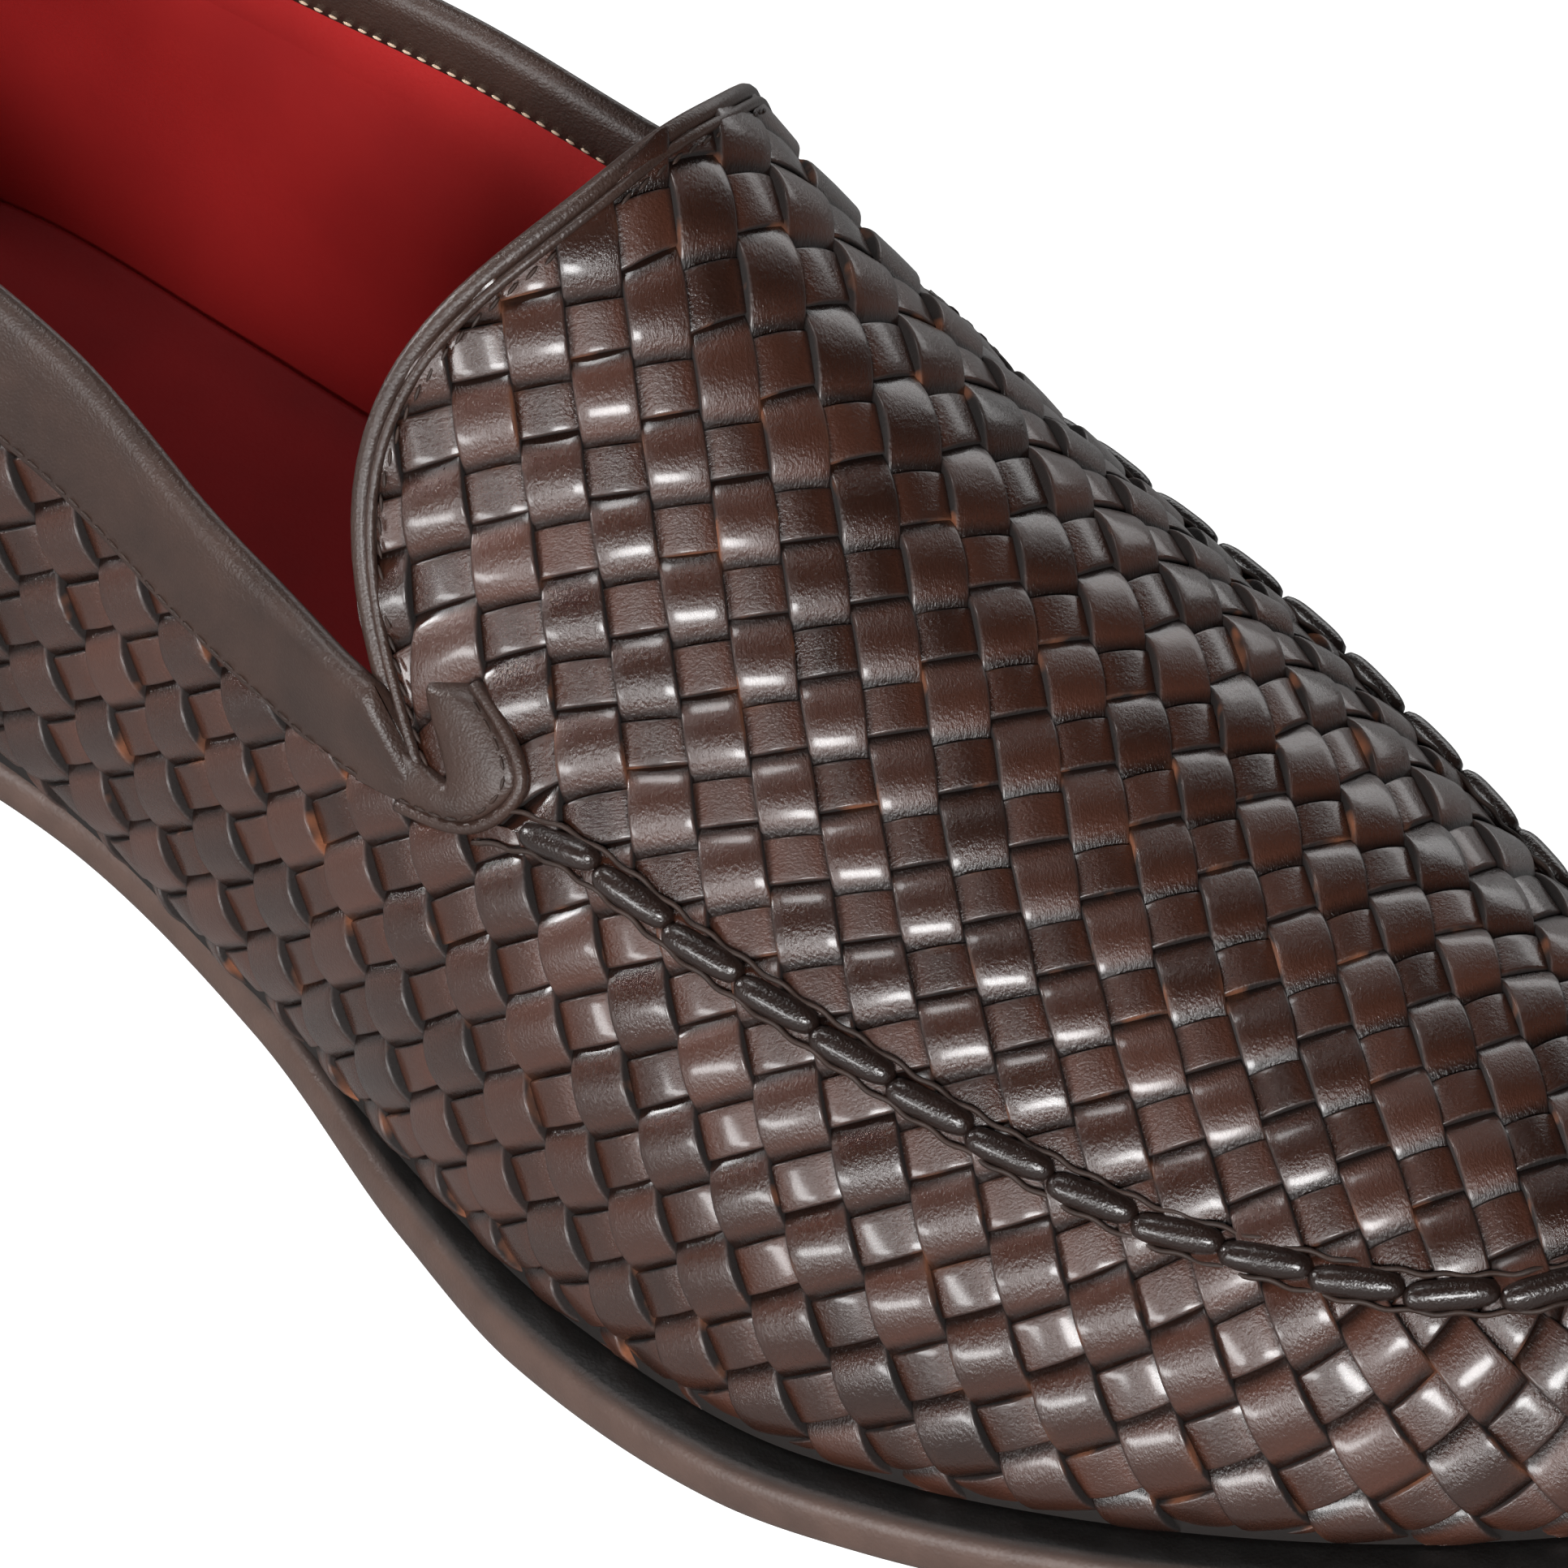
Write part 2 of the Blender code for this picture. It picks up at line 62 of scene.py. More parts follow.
SOLE_COLUMNS = ("x", "inner", "outer", "tread")
SOLE_ROWS = (
    (4.0, 15.0, 15.0, 22.4),
    (12.0, 24.5, 24.5, 22.2),
    (25.0, 31.5, 31.0, 22.0),
    (46.0, 34.3, 33.8, 21.4),
    (73.0, 31.2, 34.5, 17.1),
    (99.5, 29.0, 36.5, 11.2),
    (126.0, 33.9, 42.0, 5.3),
    (153.0, 44.9, 50.5, 1.3),
    (172.0, 51.5, 54.6, 0.0),
    (198.0, 54.7, 55.2, 0.0),
    (214.0, 52.7, 52.0, 1.0),
    (233.0, 47.6, 45.5, 2.8),
    (252.5, 39.6, 36.0, 5.1),
    (268.6, 30.6, 25.5, 7.6),
    (279.3, 22.0, 15.5, 9.4),
    (284.6, 14.4, 7.4, 10.3),
)

# The trimmed edge from the tread up to the ledge: inset, height and share of near-black, partly stain and
# partly painted shadow
SOLE_EDGE_ROWS = (
    (12.0, 0.0, 0.0),
    (2.2, 0.0, 0.0),
    (1.0, 0.15, 0.0),
    (0.35, 0.6, 0.0),
    (0.05, 1.4, 0.0),
    (0.0, 2.6, 0.0),
    (0.1, 3.8, 0.0),
    (0.45, 4.7, 0.1),
    (1.1, 5.2, 0.6),
    (1.9, 5.4, 1.0),
    (6.0, 5.4, 1.0),
)


def column(columns, rows, name):
    return np.array([row[columns.index(name)] for row in rows])


def hermite(t, size, start, end, start_slope, end_slope):
    """Cubic between two values that meets the slopes at both ends."""
    rise = (1 + 2 * t) * (1 - t) ** 2 * start + t * t * (3 - 2 * t) * end
    return rise + size * (t * (1 - t) ** 2 * start_slope - t * t * (1 - t) * end_slope)


def smooth(columns, rows, name, x):
    """Monotone cubic through one column of a table, held at its ends."""
    xs = column(columns, rows, "x")
    ys = column(columns, rows, name)
    step = np.diff(xs)
    slope = np.diff(ys) / step
    same_way = slope[:-1] * slope[1:] > 0
    total = np.where(same_way, slope[:-1] + slope[1:], 1.0)
    inner_tangent = np.where(same_way, 2 * slope[:-1] * slope[1:] / total, 0.0)
    tangent = np.concatenate(([slope[0]], inner_tangent, [slope[-1]]))
    i = np.clip(np.searchsorted(xs, x) - 1, 0, len(step) - 1)
    t = np.clip((x - xs[i]) / step[i], 0.0, 1.0)
    return hermite(t, step[i], ys[i], ys[i + 1], tangent[i], tangent[i + 1])


def outline_loop(per_side):
    """Plan points round the outsole: heel tip, outer side, toe tip, inner side back to the heel."""
    xs = column(SOLE_COLUMNS, SOLE_ROWS, "x")
    outer = np.column_stack([xs, column(SOLE_COLUMNS, SOLE_ROWS, "outer")])
    inner = np.column_stack([xs, -column(SOLE_COLUMNS, SOLE_ROWS, "inner")])
    knots = np.vstack([[HEEL_TIP], outer, [TOE_TIP], inner[::-1]])
    chord = np.linalg.norm(np.roll(knots, -1, axis=0) - knots, axis=1)
    place_along = np.concatenate(([0.0], np.cumsum(chord)))
    before = np.roll(chord, 1)
    back_slope = (knots - np.roll(knots, 1, axis=0)) / before[:, None]
    on_slope = (np.roll(knots, -1, axis=0) - knots) / chord[:, None]
    share = (before / (before + chord))[:, None]
    tangent = back_slope * (1 - share) + on_slope * share
    toe = place_along[len(SOLE_ROWS) + 1]
    q = np.arange(per_side + 1) / per_side
    where = np.concatenate([q * toe, place_along[-1] - q[-2:0:-1] * (place_along[-1] - toe)])
    i = np.clip(np.searchsorted(place_along, where, side="right") - 1, 0, len(chord) - 1)
    j = (i + 1) % len(knots)
    t = ((where - place_along[i]) / chord[i])[:, None]
    return hermite(t, chord[i][:, None], knots[i], knots[j], tangent[i], tangent[j])


def outward(loop):
    """Plan normals of a closed loop that runs heel, outer side, toe, inner side."""
    along = np.roll(loop, -1, axis=0) - np.roll(loop, 1, axis=0)
    normal = np.column_stack([-along[:, 1], along[:, 0]])
    return normal / np.linalg.norm(normal, axis=1)[:, None]


def tread_z(x):
    return smooth(SOLE_COLUMNS, SOLE_ROWS, "tread", x)


sole_low, sole_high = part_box("outsole")
cad_outline = outline_loop(CAD_COLUMNS)
ORIGIN = np.array([
    cad_outline[:, 0].min() - sole_low.x / MM,
    cad_outline[:, 1].max() - sole_high.y / MM,
    0.0,
])


def place(points):
    """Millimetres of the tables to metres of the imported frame."""
    return (np.asarray(points, float) - ORIGIN) * MM


def ladder(loops):
    """A closed body from loops stacked one on the other, each running heel, outer side, toe, inner side."""
    count = len(loops[0])
    faces = []
    for level in range(len(loops) - 1):
        for c in range(count):
            a = level * count + c
            b = level * count + (c + 1) % count
            faces.append((a, a + count, b + count, b))
    top = (len(loops) - 1) * count
    for k in range(count // 2):
        lid = list(dict.fromkeys((k, k + 1, (count - k - 1) % count, (count - k) % count)))
        faces.append(tuple(lid))
        faces.append(tuple(top + v for v in reversed(lid)))
    return np.vstack(loops), faces


def new_piece(name, points, faces, material, values=None):
    """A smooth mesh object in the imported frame; values are named numbers per point, read by its material."""
    mesh = bpy.data.meshes.new(name)
    mesh.from_pydata(place(points).tolist(), [], [tuple(face) for face in faces])
    mesh.shade_smooth()
    for title, numbers in (values or {}).items():
        attribute = mesh.attributes.new(title, "FLOAT", "POINT")
        attribute.data.foreach_set("value", np.asarray(numbers, np.float32))
    mesh.materials.append(material)
    piece = bpy.data.objects.new(name, mesh)
    bpy.context.scene.collection.objects.link(piece)
    return piece


def feed(tree, socket, value):
    """Sets a socket, or links it where the value is another node's socket."""
    if isinstance(value, bpy.types.NodeSocket):
        tree.links.new(value, socket)
    else:
        socket.default_value = value


def put(tree, kind, values=None):
    """A node with its inputs fed."""
    node = tree.nodes.new(kind)
    for name, value in (values or {}).items():
        feed(tree, node.inputs[name], value)
    return node


def mixed(tree, share, first, second):
    """Colour output of a mix of two colours."""
    node = tree.nodes.new("ShaderNodeMix")
    node.data_type = "RGBA"
    feed(tree, node.inputs[0], share)
    feed(tree, node.inputs[6], first)
    feed(tree, node.inputs[7], second)
    return node.outputs[2]


def sums(tree, way, first, second):
    """Output of one Math node."""
    node = tree.nodes.new("ShaderNodeMath")
    node.operation = way
    feed(tree, node.inputs[0], first)
    feed(tree, node.inputs[1], second)
    return node.outputs[0]


def colour(red, green, blue):
    """Screen colour, 0 to 255, as the linear colour that shaders take."""
    share = np.array([red, green, blue]) / 255.0
    linear = np.where(share <= 0.04045, share / 12.92, ((share + 0.055) / 1.055) ** 2.4)
    return (*(float(v) for v in linear), 1.0)


def make_leather_grain():
    """Node group: fine pores and creases of finished leather, with a slow change of shade across the hide."""
    group = bpy.data.node_groups.new("leather_grain", "ShaderNodeTree")
    group.interface.new_socket("Pore Scale", in_out="INPUT", socket_type="NodeSocketFloat")
    group.interface.new_socket("Shade Scale", in_out="INPUT", socket_type="NodeSocketFloat")
    group.interface.new_socket("Height", in_out="OUTPUT", socket_type="NodeSocketFloat")
    group.interface.new_socket("Shade", in_out="OUTPUT", socket_type="NodeSocketFloat")
    given = group.nodes.new("NodeGroupInput")
    where = group.nodes.new("ShaderNodeTexCoord").outputs["Object"]
    pores = put(group, "ShaderNodeTexVoronoi", {"Vector": where, "Scale": given.outputs["Pore Scale"]})
    creases = put(group, "ShaderNodeTexNoise", {
        "Vector": where,
        "Scale": sums(group, "MULTIPLY", given.outputs["Pore Scale"], CREASE_SCALE_SHARE),
        "Detail": 3.0,
        "Roughness": 0.6,
    })
    shade = put(group, "ShaderNodeTexNoise", {
        "Vector": where, "Scale": given.outputs["Shade Scale"], "Detail": 3.0,
    })
    pits = sums(group, "MULTIPLY", pores.outputs["Distance"], PIT_SHARE)
    height = sums(group, "ADD", pits, creases.outputs["Fac"])
    result = group.nodes.new("NodeGroupOutput")
    group.links.new(height, result.inputs["Height"])
    group.links.new(shade.outputs["Fac"], result.inputs["Shade"])
    return group


leather_grain = make_leather_grain()


def add_grain(tree, pore_mm, shade_mm):
    node = tree.nodes.new("ShaderNodeGroup")
    node.node_tree = leather_grain
    node.inputs["Pore Scale"].default_value = 1.0 / (pore_mm * MM)
    node.inputs["Shade Scale"].default_value = 1.0 / (shade_mm * MM)
    return node


def new_material(name):
    """A material with its node tree and its one Principled shader."""
    material = bpy.data.materials.new(name)
    material.use_nodes = True
    return material, material.node_tree, material.node_tree.nodes["Principled BSDF"]


def plain_leather(name, dark, light, rough, pore_mm, depth_mm, coat=0.0, coat_roughness=0.4, shade_mm=14.0):
    """Smooth leather: a shade that drifts between two colours, with pores of one size and depth."""
    material, tree, shader = new_material(name)
    grain = add_grain(tree, pore_mm, shade_mm)
    shader.inputs["Coat Weight"].default_value = coat
    shader.inputs["Coat Roughness"].default_value = coat_roughness
    tree.links.new(mixed(tree, grain.outputs["Shade"], dark, light), shader.inputs["Base Color"])
    spread = put(tree, "ShaderNodeMapRange", {
        "Value": grain.outputs["Height"], "To Min": rough - ROUGH_SPREAD, "To Max": rough + ROUGH_SPREAD,
    })
    tree.links.new(spread.outputs["Result"], shader.inputs["Roughness"])
    bump = put(tree, "ShaderNodeBump", {"Height": grain.outputs["Height"], "Distance": depth_mm * MM})
    tree.links.new(bump.outputs["Normal"], shader.inputs["Normal"])
    return material


def blacken_by_value(material, title):
    """Mixes a material's colour towards black by one of its mesh's named values."""
    tree = material.node_tree
    shader = tree.nodes["Principled BSDF"]
    stain_and_shade = tree.nodes.new("ShaderNodeAttribute")
    stain_and_shade.attribute_name = title
    plain = shader.inputs["Base Color"].links[0].from_socket
    stained_and_shaded = mixed(tree, stain_and_shade.outputs["Fac"], plain, colour(*LEDGE_BLACK))
    tree.links.new(stained_and_shaded, shader.inputs["Base Color"])


sole_leather = plain_leather(
    "sole_leather", dark=colour(66, 50, 44), light=colour(98, 76, 67),
    rough=0.45, pore_mm=0.4, depth_mm=0.05, coat=0.1, coat_roughness=0.35, shade_mm=5.0,
)
# The ledge is painted near-black: partly its stain, partly painted shadow of the crease under the upper.
blacken_by_value(sole_leather, "ledge_stain")
sole_plan = outline_loop(FINE_COLUMNS)
sole_out = outward(sole_plan)
sole_tread = tread_z(sole_plan[:, 0])
sole_loops = []
ledge_stain = []
for inset, height, stain_and_shade in SOLE_EDGE_ROWS:
    sole_loops.append(np.column_stack([sole_plan - sole_out * inset, sole_tread + height]))
    ledge_stain.extend([stain_and_shade] * len(sole_plan))
sole = new_piece("outsole_trimmed", *ladder(sole_loops), sole_leather, {"ledge_stain": ledge_stain})
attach(sole, "root")
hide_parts("outsole")

# Heel: a low block of stacked leather lifts under the seat of the sole, dyed dark red and pressed smooth,
# with a hollow breast in front. It is nailed and glued on.
HEEL_STEP = 0.8
HEEL_TAPER = 1.6
BREAST_X = 83.0
BREAST_HOLLOW = 6.0
BREAST_POINTS = 17
HEEL_LIFTS = 4
LIFT_GROOVE = 0.25
GROOVE_SHARE = 0.012

heel_plan = sole_plan - sole_out * HEEL_STEP
heel_outer = heel_plan[1:FINE_COLUMNS]
heel_inner = heel_plan[:FINE_COLUMNS:-1]
heel_count = min(int((heel_outer[:, 0] < BREAST_X).sum()), int((heel_inner[:, 0] < BREAST_X).sum()))
breast_share = np.linspace(0.0, 1.0, BREAST_POINTS + 2)[1:-1, None]
breast = heel_outer[heel_count - 1] * (1 - breast_share) + heel_inner[heel_count - 1] * breast_share
breast[:, 0] -= BREAST_HOLLOW * (1 - (2 * breast_share[:, 0] - 1) ** 2)
breast_middle = BREAST_POINTS // 2
heel_plan = np.vstack([
    heel_plan[:1],
    heel_outer[:heel_count],
    breast[: breast_middle + 1],
    np.vstack([heel_inner[:heel_count], breast[:breast_middle:-1]])[::-1],
])
heel_middle = np.array([heel_plan[:, 0].mean(), 0.0])
heel_inward = (heel_middle - heel_plan) / np.linalg.norm(heel_middle - heel_plan, axis=1)[:, None]
heel_top = tread_z(heel_plan[:, 0])
heel_loops = []
for lift in range(HEEL_LIFTS):
    bottom = lift / HEEL_LIFTS
    top = (lift + 1) / HEEL_LIFTS
    steps = ((bottom, LIFT_GROOVE), (bottom + GROOVE_SHARE, 0.0), (top - GROOVE_SHARE, 0.0))
    for share, groove in steps:
        plan = heel_plan + heel_inward * (HEEL_TAPER * (1 - share) + groove)
        heel_loops.append(np.column_stack([plan, heel_top * share]))
heel_loops.append(np.column_stack([heel_plan + heel_inward * LIFT_GROOVE, heel_top]))
heel_leather = plain_leather(
    "heel_stack", dark=colour(48, 20, 22), light=colour(74, 32, 34),
    rough=0.45, pore_mm=0.6, depth_mm=0.03, coat=0.2, coat_roughness=0.3,
)
heel = new_piece("heel_stacked", *ladder(heel_loops), heel_leather)
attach(heel, "root")
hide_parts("heel")

# Sock: a full-length insole covered in dark red leather, laid in on the sole, with its edge curling up
# a little where it meets the lining.
SOLE_THICK = 5.4
GAP = 0.3
INSOLE_INSET = 3.0
INSOLE_THICK = 3.2
SOCK_CURL = 1.1
SOCK_CURL_POWER = 12
SOCK_SHINE = 0.15
SOCK_SHARES = (1.0, 0.985, 0.96, 0.9, 0.8, 0.6, 0.4, 0.2, 0.03)

LAST_COLUMNS = ("x", "inset_inner", "inset_outer", "middle")
LAST_ROWS = (
    (0.0, 3.0, 3.0, 0.0),
    (46.0, 1.8, 2.4, 1.5),
    (73.0, 0.0, 1.6, 2.6),
    (115.0, -1.1, 1.2, 4.2),
    (148.0, 2.1, 2.6, 4.3),
    (180.0, 4.3, 4.2, 3.5),
    (220.0, 4.5, 4.5, 1.2),
    (250.0, 4.8, 4.8, -1.1),
    (286.6, 4.8, 4.8, -4.5),
)
SIDE_BLEND = 20.0


def by_side(columns, rows, name, x, outer_side):
    """A column that has an inner and an outer value, blended across the two tips."""
    inner = smooth(columns, rows, name.format("inner"), x)
    outer = smooth(columns, rows, name.format("outer"), x)
    return inner + (outer - inner) * outer_side


def middle_y(x):
    return smooth(LAST_COLUMNS, LAST_ROWS, "middle", x)


def feather_loop(loop):
    """Where the upper meets the sole, with its outward plan normals and a 0 to 1 share of the outer side."""
    out = outward(loop)
    outer_side = np.clip(0.5 + (loop[:, 1] - middle_y(loop[:, 0])) / SIDE_BLEND, 0.0, 1.0)
    inset = by_side(LAST_COLUMNS, LAST_ROWS, "inset_{}", loop[:, 0], outer_side)
    plan = loop - out * inset[:, None]
    z = tread_z(loop[:, 0]) + SOLE_THICK + GAP
    return np.column_stack([plan, z]), np.column_stack([out, np.zeros(len(out))]), outer_side


feather, feather_out, outer_share = feather_loop(sole_plan)
sock_edge = feather - feather_out * INSOLE_INSET
sock_middle = middle_y(sock_edge[:, 0])
sock_loops = [sock_edge]
for share in SOCK_SHARES:
    loop = sock_edge.copy()
    loop[:, 1] = sock_middle + (sock_edge[:, 1] - sock_middle) * share
    loop[:, 2] += INSOLE_THICK + SOCK_CURL * share ** SOCK_CURL_POWER
    sock_loops.append(loop)
sock_leather = plain_leather(
    "sock_leather", dark=colour(98, 17, 19), light=colour(124, 22, 24),
    rough=0.62, pore_mm=0.35, depth_mm=0.03,
)
sock_leather.node_tree.nodes["Principled BSDF"].inputs["Specular IOR Level"].default_value = SOCK_SHINE
sock = new_piece("sock_lining", *ladder(sock_loops), sock_leather)
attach(sock, "root")
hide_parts("insole")

# Lining and backing of the upper: a red leather lining inside, and a dark backing just under the weave
# that shows only in the cracks between strips. Both are lasted together with the woven panels.
WALL_ROWS = 24
APRON_ROWS = 28
BAND_ROWS = 6
GUSSET_X = 154.0
GUSSET_LEAN = 9.0
BACKING_DEPTH = 0.75
LINING_DEPTH = 1.9
LINING_BAND_SHARE = 0.55

LINE_COLUMNS = ("x", "spread", "inner_z", "outer_z")
SEAM_ROWS = (
    (0.0, 0.96, 73.0, 73.0),
    (46.0, 0.98, 69.0, 69.0),
    (80.0, 1.01, 65.0, 65.0),
    (100.0, 1.01, 59.5, 62.5),
    (119.0, 1.00, 53.0, 57.0),
    (140.0, 0.95, 48.5, 51.0),
    (152.0, 0.89, 49.0, 50.5),
    (166.0, 0.81, 51.5, 51.5),
    (181.0, 0.765, 47.8, 48.5),
    (198.0, 0.735, 43.8, 45.0),
    (214.0, 0.725, 39.5, 41.5),
    (237.0, 0.74, 35.8, 38.0),
    (262.0, 0.80, 35.6, 37.0),
    (286.6, 0.84, 37.5, 37.5),
)
COLLAR_ROWS = (
    (0.0, 0.83, 86.0, 86.0),
    (46.0, 0.86, 82.0, 82.0),
    (80.0, 0.93, 78.5, 79.0),
    (100.0, 0.96, 73.0, 76.0),
    (119.0, 0.96, 65.0, 70.0),
    (140.0, 0.93, 60.0, 63.5),
    (154.0, 0.88, 58.5, 61.0),
)
RIDGE_COLUMNS = ("x", "z")
RIDGE_ROWS = (
    (126.0, 110.5),
    (142.0, 101.3),
    (154.0, 91.9),
    (165.0, 82.5),
    (175.0, 74.6),
    (190.0, 64.8),
    (205.0, 57.4),
    (220.0, 52.1),
    (235.0, 48.2),
    (250.0, 44.6),
    (262.0, 41.0),
)
SIDE_LOW_RISE = 0.34
SIDE_HIGH_RISE = 0.71
SIDE_HIGH_LEAN = 0.29
BELLY_BACK = 3.0
BELLY_FRONT = 1.0
BELLY_FROM_X = 110.0
BELLY_TO_X = 170.0
APRON_LOW_IN = {"inner": 0.23, "outer": 0.17}
APRON_LOW_RISE = 0.58
APRON_CROWN = {"inner": 0.43, "outer": 0.52}
TONGUE_BOW = 33.0
TONGUE_BOW_REACH = 62.0
TONGUE_IN = 0.07
TONGUE_RISE = 0.08
TONGUE_CROWN = 0.1
TONGUE_SHOULDER = 1.5
SEAM_HEEL_LEAN = 3.0
COLLAR_HEEL_LEAN = 9.6
HEEL_LEAN_REACH = 60.0
TOE_SET_BACK = 15.0
TOE_START_X = 190.0
LEAN_FROM_X = 110.0
RIDGE_TURN_X = 200.0
RIDGE_TOE_BACK = 18.0
RIDGE_TOE_REACH = 70.0
RIDGE_THROAT_BACK = 6.5
RIDGE_THROAT_REACH = 48.0
TINY = 1e-9


def line_above(rows, heel_lean, toe_back):
    """A seam or collar line: the feather line drawn in to the middle and lifted to the table's height."""
    x = feather[:, 0]
    middle = middle_y(x)
    spread = smooth(LINE_COLUMNS, rows, "spread", x)
    lean = heel_lean * np.clip(1 - x / HEEL_LEAN_REACH, 0, 1) ** 2
    back = toe_back * np.clip((x - TOE_START_X) / (TOE_TIP[0] - TOE_START_X), 0, 1) ** 2
    y = middle + spread * (feather[:, 1] - middle)
    z = by_side(LINE_COLUMNS, rows, "{}_z", x, outer_share)
    return np.column_stack([x + lean - back, y, z])


def ridge_z(x):
    return smooth(RIDGE_COLUMNS, RIDGE_ROWS, "z", x)


def ridge_line(seam_x):
    """The ridge point that each apron column climbs to, and the slope of the ridge there."""
    throat = RIDGE_THROAT_BACK * np.clip((RIDGE_TURN_X - seam_x) / RIDGE_THROAT_REACH, 0, 1) ** 2
    toe = RIDGE_TOE_BACK * np.clip((seam_x - RIDGE_TURN_X) / RIDGE_TOE_REACH, 0, 1) ** 2
    x = seam_x - throat - toe
    slope = ridge_z(x + 0.5) - ridge_z(x - 0.5)
    return np.column_stack([x, middle_y(x), ridge_z(x)]), slope


def bezier(p0, p1, p2, p3, count):
    t = np.linspace(0.0, 1.0, count + 1)[None, :, None]
    p0, p1, p2, p3 = (p[:, None, :] for p in (p0, p1, p2, p3))
    return (1 - t) ** 3 * p0 + 3 * t * (1 - t) ** 2 * p1 + 3 * t * t * (1 - t) * p2 + t ** 3 * p3


def side_value(pair):
    return pair["inner"] + (pair["outer"] - pair["inner"]) * outer_share


def unit(vectors):
    return vectors / np.maximum(np.linalg.norm(vectors, axis=-1, keepdims=True), TINY)


def grid_normals(points, wrap):
    """Outward normals of a grid of columns round the shoe and rows going up."""
    along = np.gradient(points, axis=0)
    if wrap:
        along = np.roll(points, -1, axis=0) - np.roll(points, 1, axis=0)
    return unit(np.cross(np.gradient(points, axis=1), along))


def grid_faces(columns, rows, wrap=False):
    """Quads of a grid stored column by column; wrap joins the last column to the first."""
    c, r = np.meshgrid(np.arange(columns if wrap else columns - 1), np.arange(rows - 1), indexing="ij")
    a = c * rows + r
    b = (c + 1) % columns * rows + r
    return np.stack([a, a + 1, b + 1, b], axis=-1).reshape(-1, 4)


def joined(parts):
    """Several (points, faces) bodies as one."""
    points, faces, start = [], [], 0
    for some_points, some_faces in parts:
        points.append(np.asarray(some_points).reshape(-1, 3))
        faces.extend(tuple(int(v) + start for v in face) for face in some_faces)
        start += len(points[-1])
    return np.vstack(points), faces


ROUND = 2 * FINE_COLUMNS
seam_line = line_above(SEAM_ROWS, SEAM_HEEL_LEAN, TOE_SET_BACK)
collar_line = line_above(COLLAR_ROWS, COLLAR_HEEL_LEAN, 0.0)
lean_share = np.clip((feather[:, 0] - LEAN_FROM_X) / (GUSSET_X - LEAN_FROM_X), 0, 1)
collar_line[:, 0] -= GUSSET_LEAN * lean_share ** 2

wall_rise = (seam_line[:, 2] - feather[:, 2])[:, None] * np.array([0.0, 0.0, 1.0])
wall_flat = (seam_line - feather) * np.array([1.0, 1.0, 0.0])
front_share = np.clip((feather[:, 0] - BELLY_FROM_X) / (BELLY_TO_X - BELLY_FROM_X), 0, 1)
belly = (BELLY_BACK + (BELLY_FRONT - BELLY_BACK) * front_share)[:, None] * feather_out
wall_low = feather + belly + SIDE_LOW_RISE * wall_rise
wall_high = feather + SIDE_HIGH_LEAN * wall_flat + SIDE_HIGH_RISE * wall_rise + 0.5 * belly
wall = bezier(feather, wall_low, wall_high, seam_line, WALL_ROWS)
wall_normals = grid_normals(wall, True)

ridge, ridge_slope = ridge_line(seam_line[:, 0])
other_side = (ROUND - np.arange(ROUND)) % ROUND
ridge = (ridge + ridge[other_side]) / 2
ridge_slope = (ridge_slope + ridge_slope[other_side]) / 2
apron_span = ridge - seam_line
tongue_bow = np.clip(1 - (seam_line[:, 0] - GUSSET_X) / TONGUE_BOW_REACH, 0, 1) ** 2
tongue_lip = tongue_bow ** 2
low_in = side_value(APRON_LOW_IN) + TONGUE_IN * tongue_lip
low_rise = APRON_LOW_RISE + TONGUE_RISE * tongue_lip
crown = side_value(APRON_CROWN) + TONGUE_CROWN * tongue_lip
apron_low = seam_line + apron_span * np.column_stack([low_in, low_in, low_rise])
apron_low[:, 0] -= TONGUE_BOW * tongue_bow
apron_high = ridge - apron_span * crown[:, None] * np.array([1.0, 1.0, 0.0])
apron_high[:, 2] += ridge_slope * (apron_high[:, 0] - ridge[:, 0]) - TONGUE_SHOULDER * tongue_lip
CAD_STRIDE = FINE_COLUMNS // CAD_COLUMNS
gusset = CAD_STRIDE * int(np.argmin(np.abs(feather[:FINE_COLUMNS:CAD_STRIDE, 0] - GUSSET_X)))
apron_columns = np.arange(gusset, ROUND - gusset + 1)
apron = bezier(seam_line, apron_low, apron_high, ridge, APRON_ROWS)[apron_columns]
apron_normals = grid_normals(apron, False)
apron_normals[:, -1] = apron_normals[:, -2]

band_columns = np.arange(-gusset, gusset + 1) % ROUND
band_share = np.linspace(0.0, 1.0, BAND_ROWS + 1)[None, :, None]
band = seam_line[band_columns][:, None] * (1 - band_share) + collar_line[band_columns][:, None] * band_share
band_normals = grid_normals(band, False)

wall_faces = grid_faces(ROUND, WALL_ROWS + 1, True)
apron_faces = grid_faces(len(apron_columns), APRON_ROWS + 1)
backing_parts = [
    (wall - wall_normals * BACKING_DEPTH, wall_faces),
    (apron - apron_normals * BACKING_DEPTH, apron_faces),
]
backing_leather = plain_leather(
    "weave_backing", dark=colour(14, 10, 8), light=colour(26, 18, 15),
    rough=0.7, pore_mm=0.5, depth_mm=0.02,
)
backing = new_piece("weave_backing", *joined(backing_parts), backing_leather)
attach(backing, "root")
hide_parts("upper")

lining_rows = int(round(LINING_BAND_SHARE * BAND_ROWS)) + 1
lining_parts = [
    (wall - wall_normals * LINING_DEPTH, wall_faces[:, ::-1]),
    (apron - apron_normals * LINING_DEPTH, apron_faces[:, ::-1]),
    (
        (band - band_normals * LINING_DEPTH)[:, :lining_rows],
        grid_faces(len(band_columns), lining_rows)[:, ::-1],
    ),
]
lining_leather = plain_leather(
    "lining_leather", dark=colour(150, 26, 28), light=colour(176, 36, 34),
    rough=0.5, pore_mm=0.35, depth_mm=0.02, coat=0.1, coat_roughness=0.4,
)
lining = new_piece("red_lining", *joined(lining_parts), lining_leather)
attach(lining, "root")
